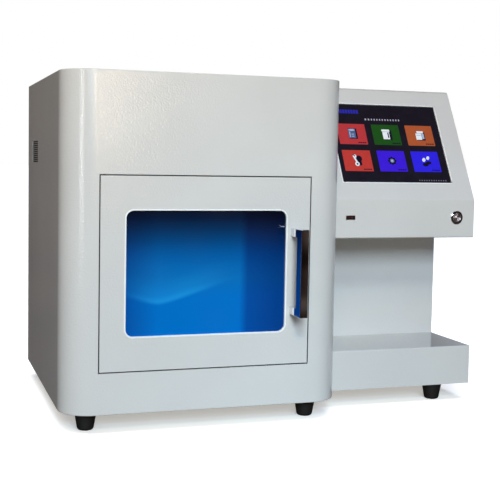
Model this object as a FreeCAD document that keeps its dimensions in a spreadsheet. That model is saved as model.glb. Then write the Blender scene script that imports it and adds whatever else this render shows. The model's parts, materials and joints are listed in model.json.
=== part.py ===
"""Benchtop density meter: a sheet-metal cabinet with a windowed sample compartment,
and a C-shaped console beside it that carries the touch screen.

The model is laid out in bench axes: x from the cabinet's left side, y back from its
front face, z up from its underside, in millimetres.  Every sub-part's Placement then
moves it so that the origin lies on the bench, under the middle of the whole meter.
"""

import FreeCAD, Part

import os
import re

import Sketcher

doc = FreeCAD.newDocument("density_meter")
sheet = doc.addObject("Spreadsheet::Sheet", "Sizes")

# --------------------------------------------------------------------------------
# Driving sizes
# --------------------------------------------------------------------------------

SIZES = (
    # cabinet
    ("face_left", 43.25, "cabinet's face left of the door"),
    ("face_right", 48.25, "cabinet's face right of the door"),
    ("cabinet_width", "=face_left + door_width + face_right", "cabinet, left to right"),
    ("cabinet_depth", 345, "cabinet and console, front to back"),
    ("cabinet_height", 400, "cabinet and console, without feet"),
    ("cabinet_corner", 38, "outer radius of the two upright front corners"),
    ("sheet_gauge", 1.5, "thickness of all steel sheet"),
    ("edge_round", 1.0, "softened outer edges of the sheet metal"),
    ("back_flange", 14, "width of the flanges that the rear panel screws to"),
    # door and its opening
    ("door_side", 29.25, "door pan beside the window, each side"),
    ("door_rail", 39.25, "door pan above and below the window"),
    ("door_width", "=window_width + 2*door_side", "door pan"),
    ("door_height", "=window_height + 2*door_rail", "door pan"),
    ("door_depth", 20, "door pan, front to back"),
    ("door_gap", 1.5, "gap round the door"),
    ("door_middle", "=face_left + door_width/2", "x of the middle of the door"),
    ("door_rise", 165, "z of the middle of the door"),
    ("jamb_margin", 2, "from the opening's edge to the jamb"),
    # hinge
    ("bracket_length", 24, "hinge bracket, left to right"),
    ("bracket_depth", 14, "hinge bracket, front to back"),
    ("pivot_inset", 5, "hinge axis, from the door's left edge and from its face"),
    ("pivot_radius", 2, "hinge pin"),
    ("pivot_grip", 10, "hinge pin and bushing inside the door"),
    ("pivot_wall", 1.35, "wall of the nylon hinge bushing"),
    ("running_fit", 0.05, "radial clearance of pins and screws in their holes"),
    ("seat_gap", 0.3, "clearance between parts that close against each other"),
    # window
    ("window_width", 200, "opening in the door"),
    ("window_height", 150, "opening in the door"),
    ("window_corner", 10, "corner radius of the window"),
    ("window_bevel", 1.0, "bright bevel round the window"),
    ("pane_thickness", 4, "tinted polycarbonate"),
    ("pane_lap", 5, "pane behind the door sheet, each side"),
    ("gasket_thickness", 1.2, "rubber between sheet and pane"),
    # handle
    ("handle_centres", 96, "between the handle's two screws"),
    ("handle_width", 10, "handle, left to right"),
    ("handle_bar", 14, "grip bar, front to back"),
    ("handle_reach", 35, "from the door's face to the front of the bar"),
    ("handle_inset", 19.3, "handle's middle, from the door's right edge"),
    ("handle_round", 1.0, "handle's edges"),
    ("m_four", 4, "M4 screw, shank"),
    # door seal, catch
    ("seal_thickness", 5, "hollow rubber seal, compressed"),
    ("seal_relief", 1.0, "room in front of the seal for the swing of the door's edge"),
    ("seal_width", 6, "hollow rubber seal"),
    ("catch_width", 10, "magnetic catch"),
    ("catch_depth", 20, "magnetic catch"),
    ("catch_height", 46, "magnetic catch"),
    ("strike_gauge", 1.2, "steel strike plate"),
    # compartment
    ("liner_inset", 9.25, "from the door's outline to the compartment's inside"),
    ("liner_width", "=door_width - 2*liner_inset", "inside the compartment"),
    ("liner_height", "=door_height - 2*liner_inset", "inside the compartment"),
    ("liner_depth", 205, "inside the compartment"),
    # feet
    ("foot_height", 22, "rubber foot"),
    ("foot_top", 13.5, "radius of the foot under the panel"),
    ("foot_sole", 9.5, "radius of the foot near the bench"),
    ("foot_round", 2.5, "rounded lower edge of the foot"),
    ("foot_recess", 4.8, "radius of the recess for the foot's screw"),
    ("foot_left", 32, "left feet, from the cabinet's left side"),
    ("foot_right", 39, "right feet, from the cabinet's right side"),
    ("foot_front", 27, "cabinet's front feet, from its face"),
    ("foot_back", 30, "all rear feet, from the back"),
    ("console_foot_side", 48, "console's feet, from its right side"),
    ("console_foot_front", 16, "console's front foot, from its face"),
    ("m_five", 5, "M5 screw, shank"),
    # console
    ("console_width", 213, "console, left to right"),
    ("console_front", 52, "y of the console's upright face"),
    ("plinth_height", 52, "top of the console's plinth"),
    ("column_front", 158, "y of the column's face"),
    ("head_bottom", 200, "underside of the console's head"),
    ("bend_height", 250.5, "where the screen's slope starts"),
    ("slope_top", 134.5, "y where the slope meets the top"),
    ("top_round", 6, "bend radius at the top of the slope"),
    ("bend_round", 4, "bend radius at the foot of the slope"),
    ("console_round", 2, "other bends of the console"),
    # screen, in the plane of the slope
    ("screen_left", 23.5, "screen opening, from the console's left side"),
    ("screen_foot", 25, "screen opening, up from the bend"),
    ("screen_width", 162.5, "opening for an 8 inch, 4:3 display"),
    ("screen_height", 122, "opening for an 8 inch, 4:3 display"),
    ("glass_lap", 6, "touch glass behind the sheet, each side"),
    ("glass_thickness", 1.8, "touch glass"),
    ("display_lap", 8, "display frame outside the opening, each side"),
    ("display_thickness", 7, "display module"),
    ("lip_inset", 6, "raised back of the display module, from its edges"),
    ("lip_depth", 3, "raised back of the display module"),
    ("rail_width", 8, "display rails"),
    ("rail_depth", 12, "display rails"),
    ("board_gauge", 1.6, "circuit board"),
    ("standoff_height", 8, "spacers under circuit boards"),
    ("standoff_radius", 3, "spacers under circuit boards"),
    # USB socket and power button
    ("socket_left", 30.3, "USB socket's middle, from the console's left side"),
    ("panel_row", 227, "z of the USB socket and the power button"),
    ("usb_width", 13.1, "USB shell, outside"),
    ("usb_height", 5.7, "USB shell, outside"),
    ("usb_depth", 14, "USB shell"),
    ("usb_wall", 0.3, "USB shell's sheet"),
    ("tongue_width", 11.1, "USB contact tongue"),
    ("tongue_height", 1.9, "USB contact tongue"),
    ("tongue_length", 8.8, "USB contact tongue"),
    ("tongue_offset", 0.4, "tongue's middle above the shell's"),
    ("root_length", 3, "block that holds the tongue"),
    ("button_right", 27, "power button's middle, from the console's right side"),
    ("button_flange", 9, "radius of the button's flange"),
    ("button_rim", 2, "how far the flange stands out"),
    ("button_barrel", 8, "radius of the button's threaded barrel"),
    ("button_length", 18, "barrel behind the panel's face"),
    ("button_cap", 6.2, "radius of the moving cap"),
    ("button_travel", 2, "travel of the cap"),
    ("button_stand", 0.4, "how far the cap stands out of the flange"),
    ("button_bevel", 0.7, "bevels of the flange and the cap"),
    ("button_end", 3, "closed end of the barrel"),
    ("nut_gauge", 3, "ring nut behind the panel"),
    ("button_nut", 10.5, "half of the nut's width over corners"),
    # sample and gas side
    ("base_width", 180, "aluminium chamber base"),
    ("base_depth", 110, "aluminium chamber base"),
    ("base_height", 24, "aluminium chamber base"),
    ("base_front", 45, "base, from the compartment's front"),
    ("chamber_pitch", 92, "between the two chambers"),
    ("chamber_radius", 38, "sample chamber, outside"),
    ("chamber_height", 80, "sample chamber"),
    ("bore_radius", 22, "sample chamber's bore"),
    ("bore_depth", 66, "sample chamber's bore"),
    ("ring_radius", 27, "chamber seal, middle of the cord"),
    ("ring_cord", 1.4, "chamber seal, radius of the cord"),
    ("cap_wall", 4, "chamber cap's skirt"),
    ("cap_clearance", 0.3, "skirt round the chamber"),
    ("cap_bevel", 1, "bevel round the cap's top"),
    ("cap_skirt", 16, "cap's skirt below the chamber's top"),
    ("cap_top", 10, "cap's plate"),
    ("cap_flutes", 30, "grip flutes round the cap"),
    ("flute_radius", 2.2, "one grip flute"),
    ("cup_radius", 20, "sample cup, outside"),
    ("cup_wall", 1.2, "sample cup"),
    ("cup_height", 60, "sample cup"),
    ("reference_radius", 30, "reference chamber"),
    ("reference_height", 68, "reference chamber"),
    ("manifold_width", 120, "gas manifold"),
    ("manifold_depth", 28, "gas manifold"),
    ("manifold_height", 34, "gas manifold"),
    ("manifold_rise", 150, "z of the manifold's underside"),
    ("valve_count", 3, "solenoid valves"),
    ("valve_pitch", 36, "between solenoid valves"),
    ("valve_side", 22, "valve coil"),
    ("valve_height", 34, "valve coil"),
    ("tube_radius", 1.6, "stainless gas tube"),
    ("tube_bend", 9, "bend radius of the gas tubes"),
    ("port_radius", 3, "gas port's stub"),
    ("port_reach", 18, "gas port, out from the rear panel"),
    ("port_hex", 5, "thickness of the gas port's hexagon"),
    ("port_barrel", 5, "radius of the gas port's barrel"),
    ("port_side", 60, "gas ports, from the cabinet's right side"),
    ("port_column", "=cabinet_width - port_side", "x of the gas ports"),
    ("inlet_rise", 190, "z of the gas inlet"),
    ("vent_rise", 150, "z of the gas vent"),
    ("valve_stand", 6, "valve coil above the manifold"),
    ("valve_nut", 6, "nut that holds the coil on its stem"),
    ("sensor_length", 30, "pressure sensor's body"),
    ("sensor_nut", 8, "hexagons of the sensor and the relief valve"),
    ("plug_length", 10, "pressure sensor's plug"),
    ("relief_length", 16, "relief valve's body"),
    # power and cooling
    ("inlet_width", 27, "mains inlet's body"),
    ("inlet_height", 20, "mains inlet's body"),
    ("inlet_depth", 24, "mains inlet's body"),
    ("inlet_margin", 2, "mains inlet's flange beyond its body, and its thickness"),
    ("inlet_wall", 1.4, "wall round the mains inlet's recess"),
    ("inlet_recess", 17, "mains inlet's recess"),
    ("pin_width", 2, "mains inlet's flat pins"),
    ("pin_height", 4, "mains inlet's flat pins"),
    ("pin_length", 11, "mains inlet's flat pins"),
    ("pin_side", 7, "outer pins, from the middle"),
    ("pin_offset", 2, "pins, above or below the middle"),
    ("switch_width", 19.2, "mains switch's body"),
    ("switch_height", 13, "mains switch's body"),
    ("switch_depth", 16, "mains switch's body"),
    ("switch_margin", 1, "mains switch's flange beyond its body"),
    ("well_width", 16, "well for the rocker"),
    ("well_height", 10.6, "well for the rocker"),
    ("well_depth", 9, "well for the rocker, behind the panel's face"),
    ("inlet_column", 62, "x of the mains inlet"),
    ("mains_rise", 56, "z of the mains inlet and the mains switch"),
    ("switch_column", 108, "x of the mains switch"),
    ("rocker_tilt", 12, "tilt of the mains rocker either way, in degrees"),
    ("rocker_lobe", 4.5, "rocker's lobes, from its axis"),
    ("rocker_stand", 3.6, "rocker's lobes, out from its axis"),
    ("rocker_heel", 2.6, "rocker's heel, in from its axis"),
    ("rocker_dip", 1.2, "hollow between the rocker's lobes"),
    ("supply_length", 199, "switched power supply"),
    ("supply_depth", 98, "switched power supply"),
    ("supply_height", 42, "switched power supply"),
    ("supply_right", 59, "power supply, from the cabinet's right side"),
    ("supply_left", "=cabinet_width - supply_right - supply_length", "x of the power supply"),
    ("supply_back", 4, "power supply, from the rear panel"),
    ("terminal_length", 13, "power supply's terminal block"),
    ("board_width", 160, "control board"),
    ("board_depth", 120, "control board"),
    ("board_inset", 6, "spacers, from a circuit board's edges"),
    ("tall_part", 14, "tallest box-shaped component on the control board"),
    ("can_radius", 5, "capacitors on the control board"),
    ("can_height", 16, "capacitors on the control board"),
    ("fan_side", 80, "cooling fan"),
    ("fan_depth", 25, "cooling fan"),
    ("fan_bore", 38, "radius of the fan's opening"),
    ("fan_hub", 17, "radius of the rotor's hub"),
    ("fan_blades", 7, "blades of the rotor"),
    ("strut_gauge", 2, "struts that carry the fan's motor"),
    ("strut_width", 4, "struts that carry the fan's motor"),
    ("motor_depth", 4, "fan's motor plate"),
    ("spindle_radius", 2, "fan's spindle"),
    ("rotor_length", 17, "rotor's hub"),
    ("blade_gauge", 2, "rotor's blades"),
    ("blade_gap", 1.5, "from the blades to the fan's opening"),
    ("fan_column", 92, "x of the fan"),
    ("fan_drop", 75, "fan's middle, below the cabinet's top"),
    ("fan_rise", "=cabinet_height - fan_drop", "z of the fan"),
    # vents
    ("louvre_length", 65, "side vent's slots"),
    ("louvre_height", 1.8, "side vent's slots"),
    ("louvre_pitch", 2.71, "side vent's slots"),
    ("louvre_count", 11, "side vent's slots"),
    ("louvre_back", 80, "middle of the side vent, from the back"),
    ("louvre_drop", 108.5, "lowest slot, below the cabinet's top"),
    ("louvre_bottom", "=cabinet_height - louvre_drop", "z of the lowest slot"),
    ("filter_thickness", 6, "dust filter behind the side vent"),
    ("grille_slot", 4, "slots of the rear grilles"),
    ("grille_pitch", 8, "slots of the rear grilles"),
    ("intake_side", 90, "second rear grille's middle, from the cabinet's right side"),
    ("intake_column", "=cabinet_width - intake_side", "x of the second rear grille"),
    ("cover_slot_length", 90, "slots in the console's rear cover"),
    ("cover_slot_rise", 290, "z of the lowest slot in the console's rear cover"),
    ("cover_slot_count", 6, "slots in the console's rear cover"),
    ("filter_margin", 4, "dust filter beyond the slots, each way"),
    ("grommet_radius", 15, "hole for the cables between cabinet and console"),
    ("grommet_lip", 3, "grommet's lips beyond its hole"),
    ("grommet_wall", 4, "grommet's ring inside its hole"),
    ("grommet_rim", 2, "thickness of the grommet's lips"),
    ("grommet_back", 90, "grommet, from the back"),
    ("grommet_drop", 100, "grommet, below the cabinet's top"),
    ("bolt_front", 30, "console's front bolts, behind the column's face"),
    ("bolt_back", 45, "console's rear bolts, from the back"),
    ("bolt_foot", 40, "console's lower bolts, above the plinth"),
    ("bolt_head", 30, "console's upper bolts, above the head's underside"),
)

for row, (alias, number, meaning) in enumerate(SIZES, start=1):
    sheet.set(f"A{row}", str(number))
    sheet.setAlias(f"A{row}", alias)
    sheet.set(f"B{row}", meaning)
doc.recompute()

ALIASES = {alias for alias, number, meaning in SIZES}
WORD = re.compile(r"[a-z][a-z_]*")


def formula(text):
    """The text with each size written as a reference to its spreadsheet cell."""
    return WORD.sub(lambda m: "Sizes." + m[0] if m[0] in ALIASES else m[0], str(text))


def value(text):
    """What a formula comes to now, for shapes and choices made in this script."""
    filled = WORD.sub(lambda m: f"({sheet.get(m[0])})" if m[0] in ALIASES else m[0], str(text))
    return FreeCAD.Units.Quantity(filled).Value


# Places that several pieces share, worked out from the driving sizes.
DOOR_LEFT = "(door_middle - door_width/2)"
DOOR_RIGHT = "(door_middle + door_width/2)"
DOOR_BOTTOM = "(door_rise - door_height/2)"
DOOR_TOP = "(door_rise + door_height/2)"
OPEN_LEFT = f"({DOOR_LEFT} - door_gap)"
OPEN_RIGHT = f"({DOOR_RIGHT} + door_gap)"
OPEN_BOTTOM = f"({DOOR_BOTTOM} - door_gap)"
OPEN_TOP = f"({DOOR_TOP} + door_gap)"
FLANGE_FRONT = "(door_depth + seal_relief + seal_thickness)"
LINER_LEFT = "(door_middle - liner_width/2)"
LINER_RIGHT = "(door_middle + liner_width/2)"
LINER_FLOOR = "(door_rise - liner_height/2)"
LINER_CEILING = "(door_rise + liner_height/2)"
LINER_BACK = f"({FLANGE_FRONT} + liner_depth)"
LINER_REAR = f"({LINER_BACK} + sheet_gauge)"
TOP_INSIDE = "(cabinet_height - sheet_gauge)"
BACK_INSIDE = "(cabinet_depth - sheet_gauge)"
RIGHT_END = "(cabinet_width + console_width)"
PIVOT_X = f"({DOOR_LEFT} + pivot_inset)"
HANDLE_X = f"({DOOR_RIGHT} - handle_inset)"
PANE_FRONT = "(sheet_gauge + gasket_thickness)"
PANE_BACK = "(sheet_gauge + gasket_thickness + pane_thickness)"
BASE_TOP = f"({LINER_FLOOR} + base_height)"
BASE_MIDDLE = f"({FLANGE_FRONT} + base_front + base_depth/2)"
SAMPLE_X = "(door_middle - chamber_pitch/2)"
REFERENCE_X = "(door_middle + chamber_pitch/2)"
CHAMBER_TOP = f"({BASE_TOP} + chamber_height)"
MANIFOLD_TOP = "(manifold_rise + manifold_height)"
MANIFOLD_MIDDLE = f"({LINER_REAR} + manifold_depth/2)"
BUTTON_X = f"({RIGHT_END} - button_right)"
SOCKET_X = "(cabinet_width + socket_left)"
SLOPE = "atan((slope_top - console_front)/(cabinet_height - bend_height))"

TUBE_RISE = f"({LINER_FLOOR} + base_height/2)"

# Width and height of the rear panel's cut-outs for the mains inlet and switch.
INLET_BODY = ("inlet_width", "inlet_height")
SWITCH_BODY = ("switch_width", "switch_height")

# Across and up, or across and back: holes and fixings that two pieces share.
GROMMET = ("cabinet_depth - grommet_back", "cabinet_height - grommet_drop")
CONSOLE_BOLTS = tuple(
    (back, rise)
    for back in ("column_front + bolt_front", "cabinet_depth - bolt_back")
    for rise in ("plinth_height + bolt_foot", "head_bottom + bolt_head")
)
PANEL_SCREW_RISES = tuple(f"cabinet_height*{share}" for share in (0.06, 0.35, 0.65, 0.94))
CABINET_FEET = tuple(
    (x, y)
    for x in ("foot_left", "cabinet_width - foot_right")
    for y in ("foot_front", "cabinet_depth - foot_back")
)
CONSOLE_FEET = tuple(
    (f"{RIGHT_END} - console_foot_side", y)
    for y in ("console_front + console_foot_front", "cabinet_depth - foot_back")
)

# From bench axes to the origin under the middle of the meter.
ORIGIN_SHIFT = (
    f"-{RIGHT_END}/2",
    "-(cabinet_depth + port_reach - handle_reach)/2",
    "foot_height",
)

X = FreeCAD.Vector(1, 0, 0)
Y = FreeCAD.Vector(0, 1, 0)
Z = FreeCAD.Vector(0, 0, 1)
THROUGH = 2  # how far a cutter runs past the faces that it cuts

# --------------------------------------------------------------------------------
# Helpers
# --------------------------------------------------------------------------------

subparts = []
standing = {}  # where each primitive stands, by its name


def bind(thing, **formulas):
    """Binds properties, such as Length="door_width", to the spreadsheet."""
    for name, text in formulas.items():
        thing.setExpression(name.replace("__", "."), formula(text))
    return thing


def place(thing, x, y, z):
    standing.setdefault(thing.Name, (x, y, z))
    return bind(thing, Placement__Base__x=x, Placement__Base__y=y, Placement__Base__z=z)


def turned_to(thing, axis):
    """Turns a piece that was made along z so that it lies along axis."""
    thing.Placement = FreeCAD.Placement(FreeCAD.Vector(), FreeCAD.Rotation(Z, axis))
    return thing


def box(name, length, width, height, x, y, z):
    thing = bind(doc.addObject("Part::Box", name), Length=length, Width=width, Height=height)
    return place(thing, x, y, z)


def rod(name, radius, height, x, y, z, axis=Z):
    thing = turned_to(doc.addObject("Part::Cylinder", name), axis)
    return place(bind(thing, Radius=radius, Height=height), x, y, z)


def hexagon(name, radius, height, x, y, z, axis=Z):
    thing = turned_to(doc.addObject("Part::Prism", name), axis)
    thing.Polygon = 6
    return place(bind(thing, Circumradius=radius, Height=height), x, y, z)


def fuse(name, *pieces):
    thing = doc.addObject("Part::MultiFuse", name)
    thing.Shapes = list(pieces)
    return thing


def cut(name, base, *tools):
    thing = doc.addObject("Part::Cut", name)
    thing.Base = base
    thing.Tool = tools[0] if len(tools) == 1 else fuse(name + "_tools", *tools)
    return thing


def group(name, pieces):
    """One sub-part made of several separate, identical or joined pieces."""
    thing = doc.addObject("Part::Compound", name)
    thing.Links = list(pieces)
    return thing


def copies(name, source, places, axis=Z):
    """The same piece standing at several places, as one sub-part."""
    links = []
    for number, (x, y, z) in enumerate(places, start=1):
        link = turned_to(doc.addObject("App::Link", f"{name}_{number}"), axis)
        link.LinkedObject = source
        links.append(place(link, x, y, z))
    return group(name, links)


def finish(thing, label=None, at=None):
    """Names a finished sub-part and moves it from bench axes to its place."""
    thing.Label = label or thing.Name
    at = at or standing.get(thing.Name, ("0", "0", "0"))
    place(thing, *(f"{shift} + {start}" for shift, start in zip(ORIGIN_SHIFT, at)))
    subparts.append(thing)
    return thing


def lean_back(thing):
    """Turns a piece about x, from upright to the lean of the screen's slope."""
    thing.Placement = FreeCAD.Placement(FreeCAD.Vector(), FreeCAD.Rotation(X, 1))
    return bind(thing, Placement__Rotation__Angle=f"-{SLOPE}")


def finish_on_slope(thing):
    """The same for a piece that is laid out in the plane of the screen's slope."""
    lean_back(thing)
    return finish(thing, at=("cabinet_width", "console_front", "bend_height"))


# PartDesign

SKETCH_OFFSET = {"XY_Plane": "({})", "XZ_Plane": "-({})", "YZ_Plane": "({})"}


def sketch(body, name, role, start="0"):
    """An empty sketch on one of the body's own planes, start along its axis."""
    thing = body.newObject("Sketcher::SketchObject", name)
    base = next(f for f in body.Origin.OriginFeatures if f.Role == role)
    thing.AttachmentSupport = (base, [""])
    thing.MapMode = "FlatFace"
    return bind(thing, AttachmentOffset__Base__z=SKETCH_OFFSET[role].format(start))


def hold(drawing, kind, geometry, point, text):
    """Holds one coordinate of a sketch point at a formula."""
    index = drawing.addConstraint(Sketcher.Constraint(kind, -1, 1, geometry, point, value(text)))
    drawing.setExpression(f"Constraints[{index}]", formula(text))


def outline(drawing, points):
    """A closed run of straight lines through points, each held by two formulas."""
    first = drawing.GeometryCount
    corners = [FreeCAD.Vector(value(x), value(y), 0) for x, y in points]
    count = len(corners)
    for i in range(count):
        drawing.addGeometry(Part.LineSegment(corners[i], corners[(i + 1) % count]))
    for i, (x, y) in enumerate(points):
        after = first + (i + 1) % count
        drawing.addConstraint(Sketcher.Constraint("Coincident", first + i, 2, after, 1))
        hold(drawing, "DistanceX", first + i, 1, x)
        hold(drawing, "DistanceY", first + i, 1, y)


def rectangle(drawing, left, low, right, high):
    outline(drawing, ((left, low), (right, low), (right, high), (left, high)))


def circle(drawing, x, y, radius):
    centre = FreeCAD.Vector(value(x), value(y), 0)
    index = drawing.addGeometry(Part.Circle(centre, Z, value(radius)))
    hold(drawing, "DistanceX", index, 3, x)
    hold(drawing, "DistanceY", index, 3, y)
    size = drawing.addConstraint(Sketcher.Constraint("Radius", index, value(radius)))
    drawing.setExpression(f"Constraints[{size}]", formula(radius))


def pad(body, name, drawing, length):
    """Adds material from the sketch's plane towards +x, +y or +z."""
    thing = body.newObject("PartDesign::Pad", name)
    thing.Profile = drawing
    thing.Reversed = "XZ" in drawing.AttachmentSupport[0][0].Role
    drawing.Visibility = False
    return bind(thing, Length=length)


def pocket(body, name, drawing, length):
    """Removes material from the sketch's plane towards +x, +y or +z."""
    thing = body.newObject("PartDesign::Pocket", name)
    thing.Profile = drawing
    thing.Reversed = "XZ" not in drawing.AttachmentSupport[0][0].Role
    drawing.Visibility = False
    return bind(thing, Length=length)


def edges_near(shape, along, across):
    """Names of the edges that run along an axis and pass through the given places."""
    names = []
    for number, edge in enumerate(shape.Edges, start=1):
        run = edge.tangentAt(edge.FirstParameter)
        if abs(run.dot(along)) < 0.999 or not isinstance(edge.Curve, Part.Line):
            continue
        middle = edge.CenterOfMass
        offset = middle - along * middle.dot(along)
        if any((offset - (spot - along * spot.dot(along))).Length < 0.01 for spot in across):
            names.append(f"Edge{number}")
    return names


def round_edges(body, name, along, places, radius):
    """Rounds the straight edges that run along an axis through the given places."""
    doc.recompute()
    spots = [FreeCAD.Vector(*(value(c) for c in spot)) for spot in places]
    before = body.Tip
    thing = body.newObject("PartDesign::Fillet", name)
    thing.Base = (before, edges_near(before.Shape, along, spots))
    return bind(thing, Radius=radius)


def round_rim(body, name, level):
    """Softens the outer edge of a folded sheet at one height."""
    doc.recompute()
    before = body.Tip
    rim = []
    for number, edge in enumerate(before.Shape.Edges, start=1):
        box_of = edge.BoundBox
        flat = near(box_of.ZMin, level) and near(box_of.ZMax, level)
        bend = isinstance(edge.Curve, Part.Circle) and near(edge.Curve.Radius, "cabinet_corner")
        side = near(box_of.XMax, "0") or near(box_of.XMin, "cabinet_width") or near(box_of.YMax, "0")
        if flat and (bend or side):
            rim.append(f"Edge{number}")
    thing = body.newObject("PartDesign::Fillet", name)
    thing.Base = (before, rim)
    bind(thing, Radius="edge_round")


def faces_where(shape, test):
    centres = enumerate((face.CenterOfMass for face in shape.Faces), start=1)
    return [f"Face{number}" for number, centre in centres if test(centre)]


def near(a, text):
    return abs(a - value(text)) < 0.01


def new_body(name):
    return doc.addObject("PartDesign::Body", name)


def plate(name, role, corners, start, thickness):
    """A body that is one rectangular pad: corners are left, low, right and high."""
    body = new_body(name)
    drawing = sketch(body, name + "_outline", role, start)
    rectangle(drawing, *corners)
    pad(body, name + "_pad", drawing, thickness)
    return body


def opening(body, name, role, corners, start, depth, radius=None):
    """A rectangular hole in a body, with rounded corners where a radius is given."""
    drawing = sketch(body, name + "_outline", role, start)
    rectangle(drawing, *corners)
    pocket(body, name, drawing, depth)
    if radius:
        left, low, right, high = corners
        spots = [(x, "0", z) for x in (left, right) for z in (low, high)]
        round_edges(body, name + "_corners", Y, spots, radius)


def turning(name, profile):
    """A body turned on a lathe: profile is a closed run of (radius, height)."""
    body = new_body(name)
    drawing = sketch(body, name + "_profile", "XZ_Plane")
    outline(drawing, profile)
    spin = body.newObject("PartDesign::Revolution", name + "_turn")
    spin.Profile = drawing
    spin.ReferenceAxis = (drawing, ["V_Axis"])
    spin.Angle = 360
    drawing.Visibility = False
    return body


# --------------------------------------------------------------------------------
# Cabinet
# --------------------------------------------------------------------------------


def make_cabinet_wrap():
    """Front and both sides, folded from one sheet round the two upright corners."""
    body = new_body("cabinet_wrap")
    drawing = sketch(body, "wrap_outline", "XY_Plane")
    rectangle(drawing, "0", "0", "cabinet_width", "cabinet_depth")
    pad(body, "wrap_block", drawing, "cabinet_height")
    corners = (("0", "0", "0"), ("cabinet_width", "0", "0"))
    round_edges(body, "wrap_bends", Z, corners, "cabinet_corner")
    doc.recompute()
    before = body.Tip

    def is_open(centre):
        upright = near(centre.z, "0") or near(centre.z, "cabinet_height")
        return upright or near(centre.y, "cabinet_depth")

    shell = body.newObject("PartDesign::Thickness", "wrap_sheet")
    shell.Base = (before, faces_where(before.Shape, is_open))
    shell.Reversed = True
    bind(shell, Value="sheet_gauge")

    round_rim(body, "top_rim", "cabinet_height")
    round_rim(body, "bottom_rim", "0")

    flanges = sketch(body, "flange_outline", "XY_Plane", "sheet_gauge")
    inner = f"{BACK_INSIDE} - sheet_gauge"
    rectangle(flanges, "sheet_gauge", inner, "back_flange", BACK_INSIDE)
    far = "cabinet_width - back_flange"
    rectangle(flanges, far, inner, "cabinet_width - sheet_gauge", BACK_INSIDE)
    pad(body, "back_flanges", flanges, "cabinet_height - 2*sheet_gauge")

    door_hole = (OPEN_LEFT, OPEN_BOTTOM, OPEN_RIGHT, OPEN_TOP)
    opening(body, "door_opening", "XZ_Plane", door_hole, f"-{THROUGH}", f"sheet_gauge + 2*{THROUGH}")

    slot = sketch(body, "louvre_outline", "YZ_Plane", f"-{THROUGH}")
    middle = "cabinet_depth - louvre_back"
    slot_left = f"{middle} - louvre_length/2"
    slot_right = f"{middle} + louvre_length/2"
    rectangle(slot, slot_left, "louvre_bottom", slot_right, "louvre_bottom + louvre_height")
    first = pocket(body, "louvre", slot, f"sheet_gauge + 2*{THROUGH}")
    doc.recompute()
    row = body.newObject("PartDesign::LinearPattern", "louvres")
    row.Originals = [first]
    row.Direction = (slot, ["V_Axis"])
    bind(row, Length="louvre_pitch*(louvre_count - 1)", Occurrences="louvre_count")
    body.Tip = row

    bolts = sketch(body, "side_holes_outline", "YZ_Plane", f"cabinet_width - sheet_gauge - {THROUGH}")
    circle(bolts, GROMMET[0], GROMMET[1], "grommet_radius")
    for back, rise in CONSOLE_BOLTS:
        circle(bolts, back, rise, "m_five/2 + running_fit")
    pocket(body, "side_holes", bolts, f"sheet_gauge + 2*{THROUGH}")

    screws = sketch(body, "flange_holes_outline", "XZ_Plane", f"{inner} - {THROUGH}")
    for column in ("back_flange/2 + sheet_gauge/2", "cabinet_width - back_flange/2 - sheet_gauge/2"):
        for rise in PANEL_SCREW_RISES:
            circle(screws, column, rise, "m_four/2 + running_fit")
    pocket(body, "flange_holes", screws, f"sheet_gauge + 2*{THROUGH}")
    finish(body)


def make_cabinet_plate(name, start, holes=()):
    """Top or bottom of the cabinet: it lies inside the folded front and sides."""
    inside = ("sheet_gauge", "sheet_gauge", "cabinet_width - sheet_gauge", BACK_INSIDE)
    body = plate(name, "XY_Plane", inside, start, "sheet_gauge")
    corners = (("sheet_gauge", "sheet_gauge", "0"), ("cabinet_width - sheet_gauge", "sheet_gauge", "0"))
    round_edges(body, name + "_corners", Z, corners, "cabinet_corner - sheet_gauge")
    if holes:
        drawing = sketch(body, name + "_holes_outline", "XY_Plane", f"{start} - {THROUGH}")
        for x, y in holes:
            circle(drawing, x, y, "m_five/2 + running_fit")
        pocket(body, name + "_holes", drawing, f"sheet_gauge + 2*{THROUGH}")
    finish(body)


def make_rear_panel():
    """Flat cover over the cabinet's back, with every connection in it."""
    corners = ("sheet_gauge", "0", "cabinet_width - sheet_gauge", "cabinet_height")
    body = plate("rear_panel", "XZ_Plane", corners, BACK_INSIDE, "sheet_gauge")
    front = f"{BACK_INSIDE} - {THROUGH}"
    depth = f"sheet_gauge + 2*{THROUGH}"

    holes = sketch(body, "rear_round_outline", "XZ_Plane", front)
    for rise in ("inlet_rise", "vent_rise"):
        circle(holes, "port_column", rise, "port_barrel + running_fit")
    for column in ("back_flange/2 + sheet_gauge/2", "cabinet_width - back_flange/2 - sheet_gauge/2"):
        for rise in PANEL_SCREW_RISES:
            circle(holes, column, rise, "m_four/2 + running_fit")
    pocket(body, "rear_round_holes", holes, depth)

    square = sketch(body, "rear_square_outline", "XZ_Plane", front)
    rectangle(square, *around("inlet_column", "mains_rise", INLET_BODY, "running_fit"))
    rectangle(square, *around("switch_column", "mains_rise", SWITCH_BODY, "running_fit"))
    pocket(body, "rear_square_holes", square, depth)

    for name, column, rise, length in (
        ("fan_grille", "fan_column", "fan_rise", "2*fan_bore"),
        ("air_grille", "intake_column", "fan_rise", "2*fan_bore"),
    ):
        slot = sketch(body, name + "_outline", "XZ_Plane", front)
        low = f"{rise} - fan_bore + grille_slot"
        sides = (f"{column} - {length}/2", f"{column} + {length}/2")
        rectangle(slot, sides[0], low, sides[1], f"{low} + grille_slot")
        first = pocket(body, name + "_slot", slot, depth)
        doc.recompute()
        row = body.newObject("PartDesign::LinearPattern", name)
        row.Originals = [first]
        row.Direction = (slot, ["V_Axis"])
        bind(row, Length="2*fan_bore - 3*grille_slot", Occurrences="floor(2*fan_bore/grille_pitch)")
        body.Tip = row
    finish(body)


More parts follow.
